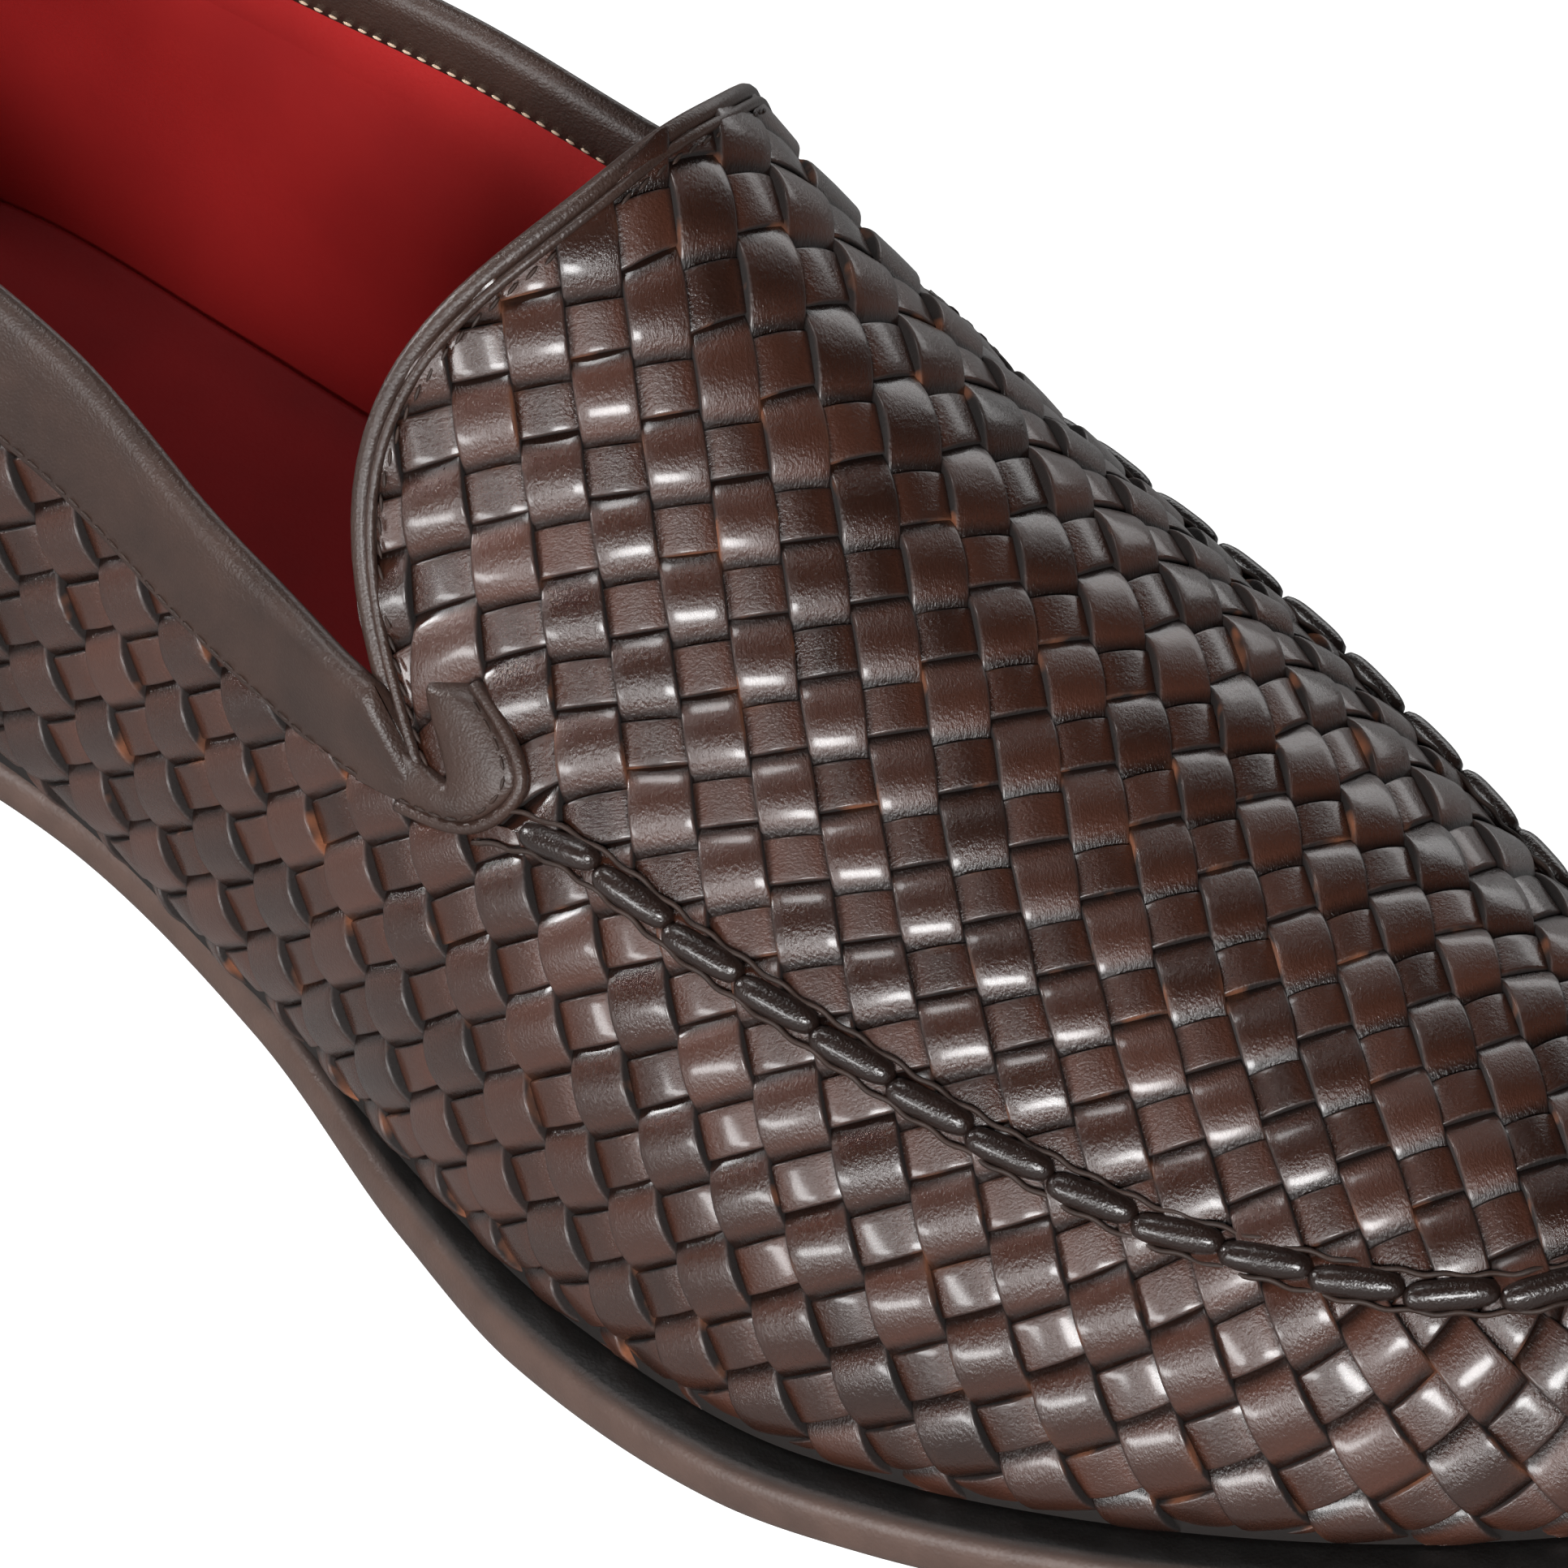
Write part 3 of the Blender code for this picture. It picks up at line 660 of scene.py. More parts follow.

# Woven panels: strips of burnished dark brown leather plaited on the diagonal over the backing. The wide
# strips arch over the narrow, flatter ones and dive under them in turn. Their edges are painted nearly black,
# partly stain and partly painted shade in the cracks, apart from a few raw spots; their diving ends get
# painted shade too.
WIDE_STRIP = {"reach": 0.68, "half": 0.505, "crown": 1.15, "sink": -0.5, "points": 15}
NARROW_STRIP = {"reach": 0.6, "half": 0.355, "crown": 0.4, "sink": -0.25, "points": 11}
STRIP_STEP_MM = 6.2
WEAVE_SEED = 7
HEIGHT_JITTER = 0.05
TILT_JITTER = 0.03
TURN_JITTER = 0.02
TILT_REACH_MM = 6.0
ARCH_POWER = 0.9
BORDER_SLACK_MM = 0.001
STREAK_STRETCH = 2.2
STREAK_SCALE = 4.5
STRIP_SEED_STEP = 60.0
PATCH_SCALE = 170.0
STRIP_GRAIN_MM = 0.34
STRIP_SHADE_MM = 22.0
TONE_SHARE = 0.3
SHADE_SHARE = 0.3
END_WARM_SHARE = 0.7
# Painted shade: the share and the colour towards which cut edges and diving ends are darkened.
CRACK_SHADE_SHARE = 0.85
STRIP_DARK = (23, 14, 11)
STRIP_WARM = (95, 54, 39)
STRIP_CRACK_SHADE = (8, 5, 4)
STRIP_RAW = (128, 76, 48)
# Painted shade at the ends of each length, where it dives under the crossing strips.
DIVE_SHADE_RANGE = (0.38, 0.7)
RAW_RANGE = (0.58, 0.7)
STREAK_ROUGH = (0.16, 0.32)
TONE_ROUGH = 0.11
EDGE_ROUGH = 0.6
STRIP_COAT = 0.45
STRIP_COAT_ROUGH = 0.17
STRIP_SHINE = 0.65
GRAIN_BUMP_SHARE = 0.5
STRIP_BUMP_MM = 0.1

# Cross-section of a strip: share of its half width, depth below its face, and a 0 to 1 share of cut edge
STRIP_SECTION_ROWS = (
    (1.0, 1.3, 1.0),
    (1.0, 0.42, 1.0),
    (0.985, 0.2, 0.8),
    (0.95, 0.07, 0.35),
    (0.88, 0.015, 0.1),
    (0.55, 0.0, 0.0),
    (0.0, -0.02, 0.0),
)


def flat_panel(points, normals, round_mm, down_mm):
    """A panel with its laid-flat places, so that a point of the pattern finds its place on the shoe."""
    columns, rows = points.shape[:2]
    quads = grid_faces(columns, rows)
    triangles = np.vstack([quads[:, :3], quads[:, [0, 2, 3]]])
    flat = np.column_stack([round_mm.ravel(), down_mm.ravel(), np.zeros(columns * rows)])
    tree = BVHTree.FromPolygons(flat.tolist(), triangles.tolist())
    return {
        "tree": tree,
        "flat": flat[:, :2],
        "triangles": triangles,
        "points": points.reshape(-1, 3),
        "normals": normals.reshape(-1, 3),
    }


def on_panel(panel, round_mm, down_mm):
    """Points and normals on a panel, and whether each had to be drawn in to the panel's border."""
    spots, index, apart = [], [], []
    for s, t in zip(round_mm.ravel(), down_mm.ravel()):
        spot, _, triangle, distance = panel["tree"].find_nearest((s, t, 0.0))
        spots.append(spot[:2])
        index.append(triangle)
        apart.append(distance)
    corners = panel["triangles"][np.array(index)]
    a, b, c = (panel["flat"][corners[:, k]] for k in range(3))
    spots = np.array(spots)
    whole = (b[:, 0] - a[:, 0]) * (c[:, 1] - a[:, 1]) - (c[:, 0] - a[:, 0]) * (b[:, 1] - a[:, 1])
    far_b = (spots[:, 0] - a[:, 0]) * (c[:, 1] - a[:, 1]) - (c[:, 0] - a[:, 0]) * (spots[:, 1] - a[:, 1])
    far_c = (b[:, 0] - a[:, 0]) * (spots[:, 1] - a[:, 1]) - (spots[:, 0] - a[:, 0]) * (b[:, 1] - a[:, 1])
    whole = np.where(np.abs(whole) < TINY, TINY, whole)
    weight = np.column_stack([1 - (far_b + far_c) / whole, far_b / whole, far_c / whole])
    points = (weight[:, :, None] * panel["points"][corners]).sum(axis=1)
    normals = unit((weight[:, :, None] * panel["normals"][corners]).sum(axis=1))
    shape = round_mm.shape
    drawn_in = (np.array(apart) > BORDER_SLACK_MM).reshape(shape)
    return points.reshape(*shape, 3), normals.reshape(*shape, 3), drawn_in


def strip_section(half):
    """Places across a strip, depths below its face and shares of cut edge, from one edge to the other."""
    rows = np.array(STRIP_SECTION_ROWS)
    across = np.concatenate([-rows[:, 0], rows[-2::-1, 0]]) * half
    depth = np.concatenate([rows[:, 1], rows[-2::-1, 1]])
    cut = np.concatenate([rows[:, 2], rows[-2::-1, 2]])
    return across, depth, cut


def lay_strips(panel, centres, strip, along, across, draw):
    """Each visible length of strip as one arched pad, laid on the panel with small hand-made differences."""
    u = np.linspace(-strip["reach"], strip["reach"], strip["points"])
    w, depth, cut = strip_section(strip["half"])
    count = len(centres)
    arch = (1 - (u / strip["reach"]) ** 2) ** ARCH_POWER
    face = strip["sink"] + (strip["crown"] - strip["sink"]) * arch
    turn = draw.uniform(-TURN_JITTER, TURN_JITTER, (count, 1, 1))
    place_u = u[None, :, None] + turn * w[None, None, :]
    place_w = w[None, None, :] - turn * u[None, :, None]
    s = centres[:, 0, None, None] + place_u * along[0] + place_w * across[0]
    t = centres[:, 1, None, None] + place_u * along[1] + place_w * across[1]
    tilt = draw.uniform(-TILT_JITTER, TILT_JITTER, (count, 2))
    lift = draw.normal(0.0, HEIGHT_JITTER, (count, 1, 1))
    slope = tilt[:, :1, None] * u[None, :, None] + tilt[:, 1:, None] * w[None, None, :]
    height = face[None, :, None] - depth[None, None, :] + lift + slope * TILT_REACH_MM
    points, normals, outside = on_panel(panel, s, t)
    points = points + normals * height[..., None]
    tone = np.broadcast_to(draw.uniform(0.0, 1.0, (count, 1, 1)), height.shape)
    length = np.broadcast_to((u / strip["reach"])[None, :, None], height.shape)
    width = np.broadcast_to((w * STRIP_STEP_MM)[None, None, :], height.shape)
    edge = np.broadcast_to(cut[None, None, :], height.shape)
    quads = grid_faces(len(u), len(w))
    faces = (quads[None] + (np.arange(count) * len(u) * len(w))[:, None, None]).reshape(-1, 4)
    faces = faces[~outside.ravel()[faces].all(axis=1)]
    values = {
        "strip_tone": tone.ravel(),
        "strip_length": length.ravel(),
        "strip_across": width.ravel(),
        "cut_edge": edge.ravel(),
    }
    return points.reshape(-1, 3), faces, values


def weave(name, panel, steps, levels, spots, origin, round_way, down_way, keep, material):
    """The strips of one panel: levels of wide and narrow lengths in turn, each level one diagonal step on."""
    draw = np.random.default_rng(WEAVE_SEED)
    wide_step, narrow_step = steps
    along_wide = (round_way * wide_step[0], down_way * wide_step[1])
    along_narrow = (round_way * narrow_step[0], -down_way * narrow_step[1])
    repeat = round_way * (wide_step[0] + narrow_step[0])
    parts = []
    for strip, along, across, start in (
        (WIDE_STRIP, along_wide, along_narrow, 0),
        (NARROW_STRIP, along_narrow, along_wide, 1),
    ):
        level = np.array([k for k in levels if k % 2 == start])
        k, m = np.meshgrid(level, np.array(spots), indexing="ij")
        s = origin[0] + k * along_wide[0] + m * repeat
        t = origin[1] + k * along_wide[1]
        centres = np.column_stack([s.ravel(), t.ravel()])
        centres = centres[keep(centres)]
        parts.append(lay_strips(panel, centres, strip, along, across, draw))
    points = np.vstack([part[0] for part in parts])
    faces = np.vstack([parts[0][1], parts[1][1] + len(parts[0][0])])
    used, faces = np.unique(faces, return_inverse=True)
    values = {}
    for title in parts[0][2]:
        values[title] = np.concatenate([part[2][title] for part in parts])[used]
    return new_piece(name, points[used], faces.reshape(-1, 4), material, values)


def woven_leather_material():
    """Burnished strips with a streaky polish: warmer towards their ends, nearly black at their edges (partly
    stain, partly painted shade in the cracks) and with painted shade where they dive under. Where a cut edge
    isn't stained through, it shows a redder brown."""
    material, tree, shader = new_material("woven_leather")
    grain = add_grain(tree, STRIP_GRAIN_MM, STRIP_SHADE_MM)

    def strip_value(title):
        node = tree.nodes.new("ShaderNodeAttribute")
        node.attribute_name = title
        return node.outputs["Fac"]

    def times(first, second):
        return sums(tree, "MULTIPLY", first, second)

    def plus(first, second):
        return sums(tree, "ADD", first, second)

    def ranged(value, start, end, low, high):
        node = put(tree, "ShaderNodeMapRange", {
            "Value": value, "From Min": start, "From Max": end, "To Min": low, "To Max": high,
        })
        return node.outputs["Result"]

    tone = strip_value("strip_tone")
    length = strip_value("strip_length")
    edge = strip_value("cut_edge")
    on_strip = put(tree, "ShaderNodeCombineXYZ", {
        "X": strip_value("strip_across"),
        "Y": times(length, STREAK_STRETCH),
        "Z": times(tone, STRIP_SEED_STEP),
    })
    streaks = put(tree, "ShaderNodeTexNoise", {
        "Vector": on_strip.outputs["Vector"], "Scale": STREAK_SCALE, "Detail": 4.0, "Roughness": 0.6,
    }).outputs["Fac"]
    where = put(tree, "ShaderNodeTexCoord").outputs["Object"]
    patches = put(tree, "ShaderNodeTexNoise", {"Vector": where, "Scale": PATCH_SCALE, "Detail": 2.0})

    far = times(length, length)
    share = plus(times(tone, TONE_SHARE), times(grain.outputs["Shade"], SHADE_SHARE))
    # Warmer towards both ends of each length, in streaks.
    share = plus(share, times(far, times(streaks, END_WARM_SHARE)))
    base = mixed(tree, share, colour(*STRIP_DARK), colour(*STRIP_WARM))
    # Painted shade: cut edges go nearly black, partly their stain and partly shade in the cracks between
    # strips.
    base = mixed(tree, times(edge, CRACK_SHADE_SHARE), base, colour(*STRIP_CRACK_SHADE))
    # Painted shade: the ends of each length, where they dive under, go nearly black.
    dive_shade = ranged(far, *DIVE_SHADE_RANGE, 0.0, CRACK_SHADE_SHARE)
    base = mixed(tree, dive_shade, base, colour(*STRIP_CRACK_SHADE))
    unstained = ranged(patches.outputs["Fac"], *RAW_RANGE, 0.0, 1.0)
    base = mixed(tree, times(edge, unstained), base, colour(*STRIP_RAW))
    tree.links.new(base, shader.inputs["Base Color"])

    dull = plus(ranged(streaks, 0.0, 1.0, *STREAK_ROUGH), times(tone, TONE_ROUGH))
    tree.links.new(plus(dull, times(edge, EDGE_ROUGH)), shader.inputs["Roughness"])
    tree.links.new(ranged(edge, 0.0, 1.0, STRIP_COAT, 0.0), shader.inputs["Coat Weight"])
    shader.inputs["Coat Roughness"].default_value = STRIP_COAT_ROUGH
    shader.inputs["Specular IOR Level"].default_value = STRIP_SHINE
    height = plus(streaks, times(grain.outputs["Height"], GRAIN_BUMP_SHARE))
    bump = put(tree, "ShaderNodeBump", {"Height": height, "Distance": STRIP_BUMP_MM * MM})
    tree.links.new(bump.outputs["Normal"], shader.inputs["Normal"])
    return material


woven_leather = woven_leather_material()

# The woven sides, laid flat: millimetres round the shoe at mid height, scaled to whole repeats, and
# millimetres down from the seam, less the rise of the weave's rows against it. Towards the sole the panel
# is drawn in under the last, which leaves a dark crease above the ledge.
WALL_STEPS = ((3.7, 4.72), (5.2, 4.72))
WALL_REPEAT = WALL_STEPS[0][0] + WALL_STEPS[1][0]
WALL_FIRST_RUN = 462.6
WALL_FIRST_DOWN = -1.9
WALL_LEVELS = range(-2, 15)
WALL_OVERLAP = 12
EDGE_REACH = 3.5
LASTING_REACH = 5.0
LASTING_TUCK = 1.8

ROW_SHIFT_COLUMNS = ("x", "shift")
ROW_SHIFT_ROWS = (
    (60.0, 0.0),
    (97.0, -1.0),
    (123.0, -4.3),
    (141.0, -5.6),
    (155.0, -3.0),
    (168.0, 0.8),
    (205.0, 0.0),
    (229.0, 1.6),
    (253.0, 7.5),
    (286.6, 12.0),
)

mid_wall = wall[:, WALL_ROWS // 2]
wall_chord = np.linalg.norm(np.roll(mid_wall, -1, axis=0) - mid_wall, axis=1)
wall_spots = int(round(wall_chord.sum() / WALL_REPEAT))
round_scale = wall_spots * WALL_REPEAT / wall_chord.sum()
wall_round = np.concatenate([[0.0], np.cumsum(wall_chord)]) * round_scale
wall_length = wall_round[-1]
wall_step = np.linalg.norm(np.diff(wall, axis=1), axis=2)
wall_down = np.concatenate([np.cumsum(wall_step[:, ::-1], axis=1)[:, ::-1], np.zeros((ROUND, 1))], axis=1)
above_sole = wall_down[:, :1] - wall_down
tuck = LASTING_TUCK * np.clip(1 - above_sole / LASTING_REACH, 0.0, 1.0) ** 2
lasted_wall = wall - wall_normals * tuck[..., None]
row_shift = smooth(ROW_SHIFT_COLUMNS, ROW_SHIFT_ROWS, "shift", wall[..., 0].ravel()).reshape(wall_down.shape)
around = np.arange(-WALL_OVERLAP, ROUND + WALL_OVERLAP + 1)
wall_flat_round = wall_round[around % ROUND] + around // ROUND * wall_length
wall_panel = flat_panel(
    lasted_wall[around % ROUND],
    wall_normals[around % ROUND],
    np.repeat(wall_flat_round[:, None], WALL_ROWS + 1, axis=1),
    (wall_down - row_shift)[around % ROUND],
)


def near_panel(panel, centres):
    return np.array([panel["tree"].find_nearest((s, t, 0.0))[3] < EDGE_REACH for s, t in centres])


def on_wall(low_share, high_share):
    def keep(centres):
        centres[:, 0] %= wall_length
        inside = (centres[:, 0] >= low_share * wall_length) & (centres[:, 0] < high_share * wall_length)
        return inside & near_panel(wall_panel, centres)
    return keep


wall_first = (WALL_FIRST_RUN * round_scale, WALL_FIRST_DOWN)
for name, low_share, high_share in (("woven_side_outer", 0.0, 0.5), ("woven_side_inner", 0.5, 1.0)):
    woven = weave(
        name, wall_panel, WALL_STEPS, WALL_LEVELS, range(wall_spots), wall_first,
        -1.0, 1.0, on_wall(low_share, high_share), woven_leather,
    )
    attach(woven, "root")
    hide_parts("upper")

# The woven apron, laid flat by its own rows of weave: each even level is a row of wide lengths, at y across
# the shoe where x is APRON_TURN_X, drifting outwards towards the toe, with its first wide length at start_x.
APRON_STEPS = ((4.7, 4.5), (3.6, 4.5))
APRON_REPEAT = APRON_STEPS[0][0] + APRON_STEPS[1][0]
APRON_TURN_X = 198.0
TOE_DRIFT = 0.09
APRON_LEVELS = range(-20, 5)
APRON_SPOTS = range(-10, 28)
APRON_COLUMNS = ("level", "y", "throat_drift", "start_x", "pitch")
APRON_WEAVE_ROWS = (
    (4, -44.0, 0.0, 205.2, 9.0),
    (2, -37.6, 0.0, 197.6, 8.7),
    (0, -31.0, 0.0, 190.0, 8.35),
    (-2, -24.2, 0.025, 182.6, 8.0),
    (-4, -16.5, 0.065, 174.9, 7.75),
    (-6, -7.5, 0.13, 167.7, 7.45),
    (-8, 2.2, 0.19, 160.3, 7.1),
    (-10, 12.4, 0.19, 151.0, 7.05),
    (-12, 23.5, 0.17, 139.4, 6.85),
    (-14, 31.0, 0.1, 128.0, 6.9),
    (-16, 37.5, 0.03, 117.0, 7.0),
    (-18, 44.0, 0.0, 106.0, 7.1),
    (-20, 50.5, 0.0, 95.0, 7.2),
)

weave_level, weave_y, weave_drift, weave_start, weave_pitch = (
    column(APRON_COLUMNS, APRON_WEAVE_ROWS, name) for name in APRON_COLUMNS
)
apron_round = np.zeros(apron.shape[:2])
apron_down = np.zeros(apron.shape[:2])
for spot in np.ndindex(apron.shape[:2]):
    x, y, _ = apron[spot]
    row_y = weave_y + (x - APRON_TURN_X) * np.where(x < APRON_TURN_X, weave_drift, TOE_DRIFT)
    level = np.interp(y, row_y, weave_level)
    start = np.interp(level, weave_level[::-1], weave_start[::-1])
    pitch = np.interp(level, weave_level[::-1], weave_pitch[::-1])
    place_in_row = (x - start) / pitch
    apron_round[spot] = level * APRON_STEPS[0][0] + place_in_row * APRON_REPEAT
    apron_down[spot] = -level * APRON_STEPS[0][1]
apron_panel = flat_panel(apron, apron_normals, apron_round, apron_down)


def on_apron(centres):
    return near_panel(apron_panel, centres)


woven_apron = weave(
    "woven_apron", apron_panel, APRON_STEPS, APRON_LEVELS, APRON_SPOTS, (0.0, 0.0), 1.0, -1.0,
    on_apron, woven_leather,
)
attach(woven_apron, "root")
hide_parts("upper")

# Collar band: a folded strip of smooth leather over the top of the quarters. Its lower edge lies on the
# weave with one row of stitching, and it turns over the top line into a facing about 6 mm deep inside.
# Section rows: share of the way up the band, and lift off it
BAND_SECTION_ROWS = (
    (-0.07, -0.3),
    (-0.07, 0.75),
    (-0.055, 0.98),
    (-0.02, 1.08),
    (0.1, 1.12),
    (0.35, 1.25),
    (0.65, 1.3),
    (0.86, 1.15),
    (0.95, 0.8),
    (1.0, 0.25),
    (1.02, -0.45),
    (1.0, -1.2),
    (0.94, -1.85),
    (0.85, -2.15),
    (0.65, -2.25),
    (0.5, -2.25),
    (0.49, -2.0),
    (0.49, -1.7),
)
# Rounded ends: step on along the band, and share of its thickness left
BAND_END_ROWS = ((0.0, 1.0), (0.35, 0.93), (0.65, 0.7), (0.85, 0.35), (0.9, 0.05))
BAND_MIDDLE_LIFT = -0.5

trim_leather = plain_leather(
    "trim_leather", dark=colour(34, 23, 19), light=colour(68, 48, 40),
    rough=0.4, pore_mm=0.3, depth_mm=0.08, coat=0.1, coat_roughness=0.3, shade_mm=7.0,
)
band_low, band_high = band[:, 0], band[:, -1]
band_face = band_normals[:, BAND_ROWS // 2]


def band_section(c, step, flat):
    """Section of the band at one column, moved on along the band and thinned for its rounded ends."""
    rows = np.array(BAND_SECTION_ROWS)
    point = band_low[c] + (band_high[c] - band_low[c]) * rows[:, :1]
    lift = BAND_MIDDLE_LIFT + (rows[:, 1:] - BAND_MIDDLE_LIFT) * flat
    return point + band_face[c] * lift + step


first_step = unit(band[0] - band[1]).mean(axis=0)
last_step = unit(band[-1] - band[-2]).mean(axis=0)
band_sections = [band_section(0, first_step * on, flat) for on, flat in BAND_END_ROWS[:0:-1]]
band_sections += [band_section(c, 0.0, 1.0) for c in range(len(band_columns))]
band_sections += [band_section(-1, last_step * on, flat) for on, flat in BAND_END_ROWS[1:]]
collar_band = new_piece(
    "collar_band",
    np.array(band_sections).reshape(-1, 3),
    grid_faces(len(band_sections), len(BAND_SECTION_ROWS)),
    trim_leather,
)
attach(collar_band, "root")
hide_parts("upper")

# Stitching of the band: waxed brown thread along its lower edge outside, and finer pale thread where the
# facing ends inside.
STITCH_ROW_SHARE = 0.0
FACING_ROW_SHARE = 0.53
BAND_STITCH = {"pitch": 1.9, "length": 1.5, "width": 0.42, "lift": 1.12}
FACING_STITCH = {"pitch": 1.7, "length": 1.0, "width": 0.35, "lift": 2.28}
LOOK_MM = 0.5
SPINDLE_SPAN = 0.995


def along_path(path, *fields):
    """Running length of a path and a reader that gives the path and other fields at any length."""
    run = np.concatenate([[0.0], np.cumsum(np.linalg.norm(np.diff(path, axis=0), axis=1))])

    def read(length):
        found = []
        for field in (path, *fields):
            found.append(np.column_stack([np.interp(length, run, field[:, k]) for k in range(3)]))
        return found

    return run[-1], read


def path_frame(read, where):
    """Place, normal, direction and sideways direction at some lengths along a path."""
    spot, up = read(where)
    up = unit(up)
    ahead = unit(read(where + LOOK_MM)[0] - read(where - LOOK_MM)[0])
    return spot, up, ahead, unit(np.cross(up, ahead))


def ring_faces(rings, sides):
    """Faces of a closed body made of rings of points, with a lid at both ends."""
    faces = []
    for r in range(rings - 1):
        for k in range(sides):
            a = r * sides + k
            b = r * sides + (k + 1) % sides
            faces.append((a, b, b + sides, a + sides))
    faces.append(tuple(reversed(range(sides))))
    faces.append(tuple((rings - 1) * sides + k for k in range(sides)))
    return faces


def spindles(centres, along, up, length, width, height, rings=7, sides=8, fullness=2.6):
    """Closed pads with rounded ends, one at each centre: stitches, or the puckers of a sewn ridge."""
    along = unit(along)
    side = unit(np.cross(up, along))
    up = np.cross(along, side)
    q = np.linspace(-1.0, 1.0, rings)
    size = (1 - np.abs(q * SPINDLE_SPAN) ** fullness) ** (1 / fullness)
    turn = np.linspace(0.0, 2 * np.pi, sides, endpoint=False)
    across = np.outer(size, np.cos(turn)) * width / 2
    rise = np.outer(size, np.sin(turn)) * height / 2
    points = (
        centres[:, None, None]
        + along[:, None, None] * (q * length / 2)[None, :, None, None]
        + side[:, None, None] * across[None, :, :, None]
        + up[:, None, None] * rise[None, :, :, None]
    )
    faces = ring_faces(rings, sides)
    return joined([(body, faces) for body in points])


def stitch_row(path, normals, pitch, length, width, lift, slant=0.0):
    """A row of stitches along a path; slant turns each one out of the row."""
    total, read = along_path(path, normals)
    spot, up, ahead, aside = path_frame(read, np.arange(pitch / 2, total, pitch))
    return spindles(spot + up * lift, ahead + slant * aside, up, length, width, width, rings=5, sides=6)


brown_thread = plain_leather(
    "brown_thread", dark=colour(20, 13, 10), light=colour(58, 36, 25),
    rough=0.6, pore_mm=0.2, depth_mm=0.02, shade_mm=3.0,
)
pale_thread = plain_leather(
    "pale_thread", dark=colour(176, 150, 128), light=colour(206, 184, 160),
    rough=0.7, pore_mm=0.2, depth_mm=0.02, shade_mm=3.0,
)
outside_path = band_low + (band_high - band_low) * STITCH_ROW_SHARE
band_stitches = new_piece(
    "band_stitches", *stitch_row(outside_path, band_face, **BAND_STITCH), brown_thread,
)
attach(band_stitches, "root")
inside_path = band_low + (band_high - band_low) * FACING_ROW_SHARE
facing_stitches = new_piece(
    "facing_stitches", *stitch_row(inside_path, -band_face, **FACING_STITCH), pale_thread,
)
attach(facing_stitches, "root")

# Apron seam: the edge of the apron pinched up and sewn over to the side panel by hand, so that it puckers
# into a row of short leather ridges, with thread lying in the crease on both sides.
SEAM_RUN_IN = 12.0
PUCKER_PITCH = 8.6
PUCKER_LENGTH = 8.9
PUCKER_WIDTH = 3.0
PUCKER_HEIGHT = 3.1
PUCKER_LIFT = 0.75
PUCKER_SLANT = 0.1
PUCKER_LEAN = 0.1
SEAM_THREAD_OUT = 1.75
THREAD_STEP = 0.6
THREAD_WAVE = 4.3
THREAD_SWAY = 0.16
THREAD_LIFT = 0.85
THREAD_RADIUS = 0.28

seam_path = apron[:, 0]
seam_up = unit(apron_normals[:, 0] + wall_normals[apron_columns, -1])
seam_total, seam_read = along_path(seam_path, seam_up)


def tube(path, normals, radius, sides=12):
    """A closed round cord along a path."""
    along = unit(np.gradient(path, axis=0))
    side = unit(np.cross(along, normals))
    up = np.cross(side, along)
    turn = np.linspace(0.0, 2 * np.pi, sides, endpoint=False)
    ring = side[:, None] * np.cos(turn)[None, :, None] + up[:, None] * np.sin(turn)[None, :, None]
    points = (path[:, None] + ring * radius).reshape(-1, 3)
    faces = [(face[0], *face[:0:-1]) for face in ring_faces(len(path), sides)]
    return points, faces


seam_leather = plain_leather(
    "seam_leather", dark=colour(20, 13, 11), light=colour(44, 30, 25),
    rough=0.28, pore_mm=0.3, depth_mm=0.08, coat=0.4, coat_roughness=0.2, shade_mm=7.0,
)
pucker_at = np.arange(SEAM_RUN_IN, seam_total - SEAM_RUN_IN, PUCKER_PITCH)
spot, up, ahead, aside = path_frame(seam_read, pucker_at)
pucker_way = np.sign(pucker_at - seam_total / 2)[:, None]
puckers = new_piece(
    "apron_seam_ridge",
    *spindles(
        spot + up * PUCKER_LIFT,
        ahead + aside * PUCKER_SLANT * pucker_way,
        up + ahead * PUCKER_LEAN * pucker_way,
        PUCKER_LENGTH, PUCKER_WIDTH, PUCKER_HEIGHT, rings=19, sides=16, fullness=3.2,
    ),
    seam_leather,
)
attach(puckers, "root")
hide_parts("apron_seam")

thread_at = np.arange(SEAM_RUN_IN / 2, seam_total - SEAM_RUN_IN / 2, THREAD_STEP)
spot, up, ahead, aside = path_frame(seam_read, thread_at)
seam_threads = []
for way in (-1.0, 1.0):
    swing = 2 * np.pi * thread_at / THREAD_WAVE + way
    out = SEAM_THREAD_OUT * way + THREAD_SWAY * np.sin(swing)
    lift = THREAD_LIFT + THREAD_SWAY * np.cos(swing)
    seam_threads.append(tube(spot + aside * out[:, None] + up * lift[:, None], up, THREAD_RADIUS, sides=6))
seam_thread = new_piece("apron_seam_thread", *joined(seam_threads), brown_thread)
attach(seam_thread, "root")

# Throat binding: the tongue edge bound with a turned strip of smooth leather, sewn so that it shows as a
# thick roll and a thin one side by side, with a row of dark stitches on the weave beside them.
# Roll rows: radius, out over the edge, and lift
ROLL_ROWS = ((1.0, 0.0, 0.6), (0.55, -1.4, 1.0))
BINDING_STITCH = {"pitch": 2.2, "length": 1.7, "width": 0.4, "lift": 1.0, "slant": 0.2}
BINDING_STITCH_IN = 2.5
BINDING_STEPS = 160
BINDING_END = 2.0
THROAT_SMOOTHING = 12



def relax(line, passes):
    """Rounds a line in place: each inner point moves towards its neighbours."""
    for _ in range(passes):
        line[1:-1] = 0.5 * line[1:-1] + 0.25 * (line[:-2] + line[2:])


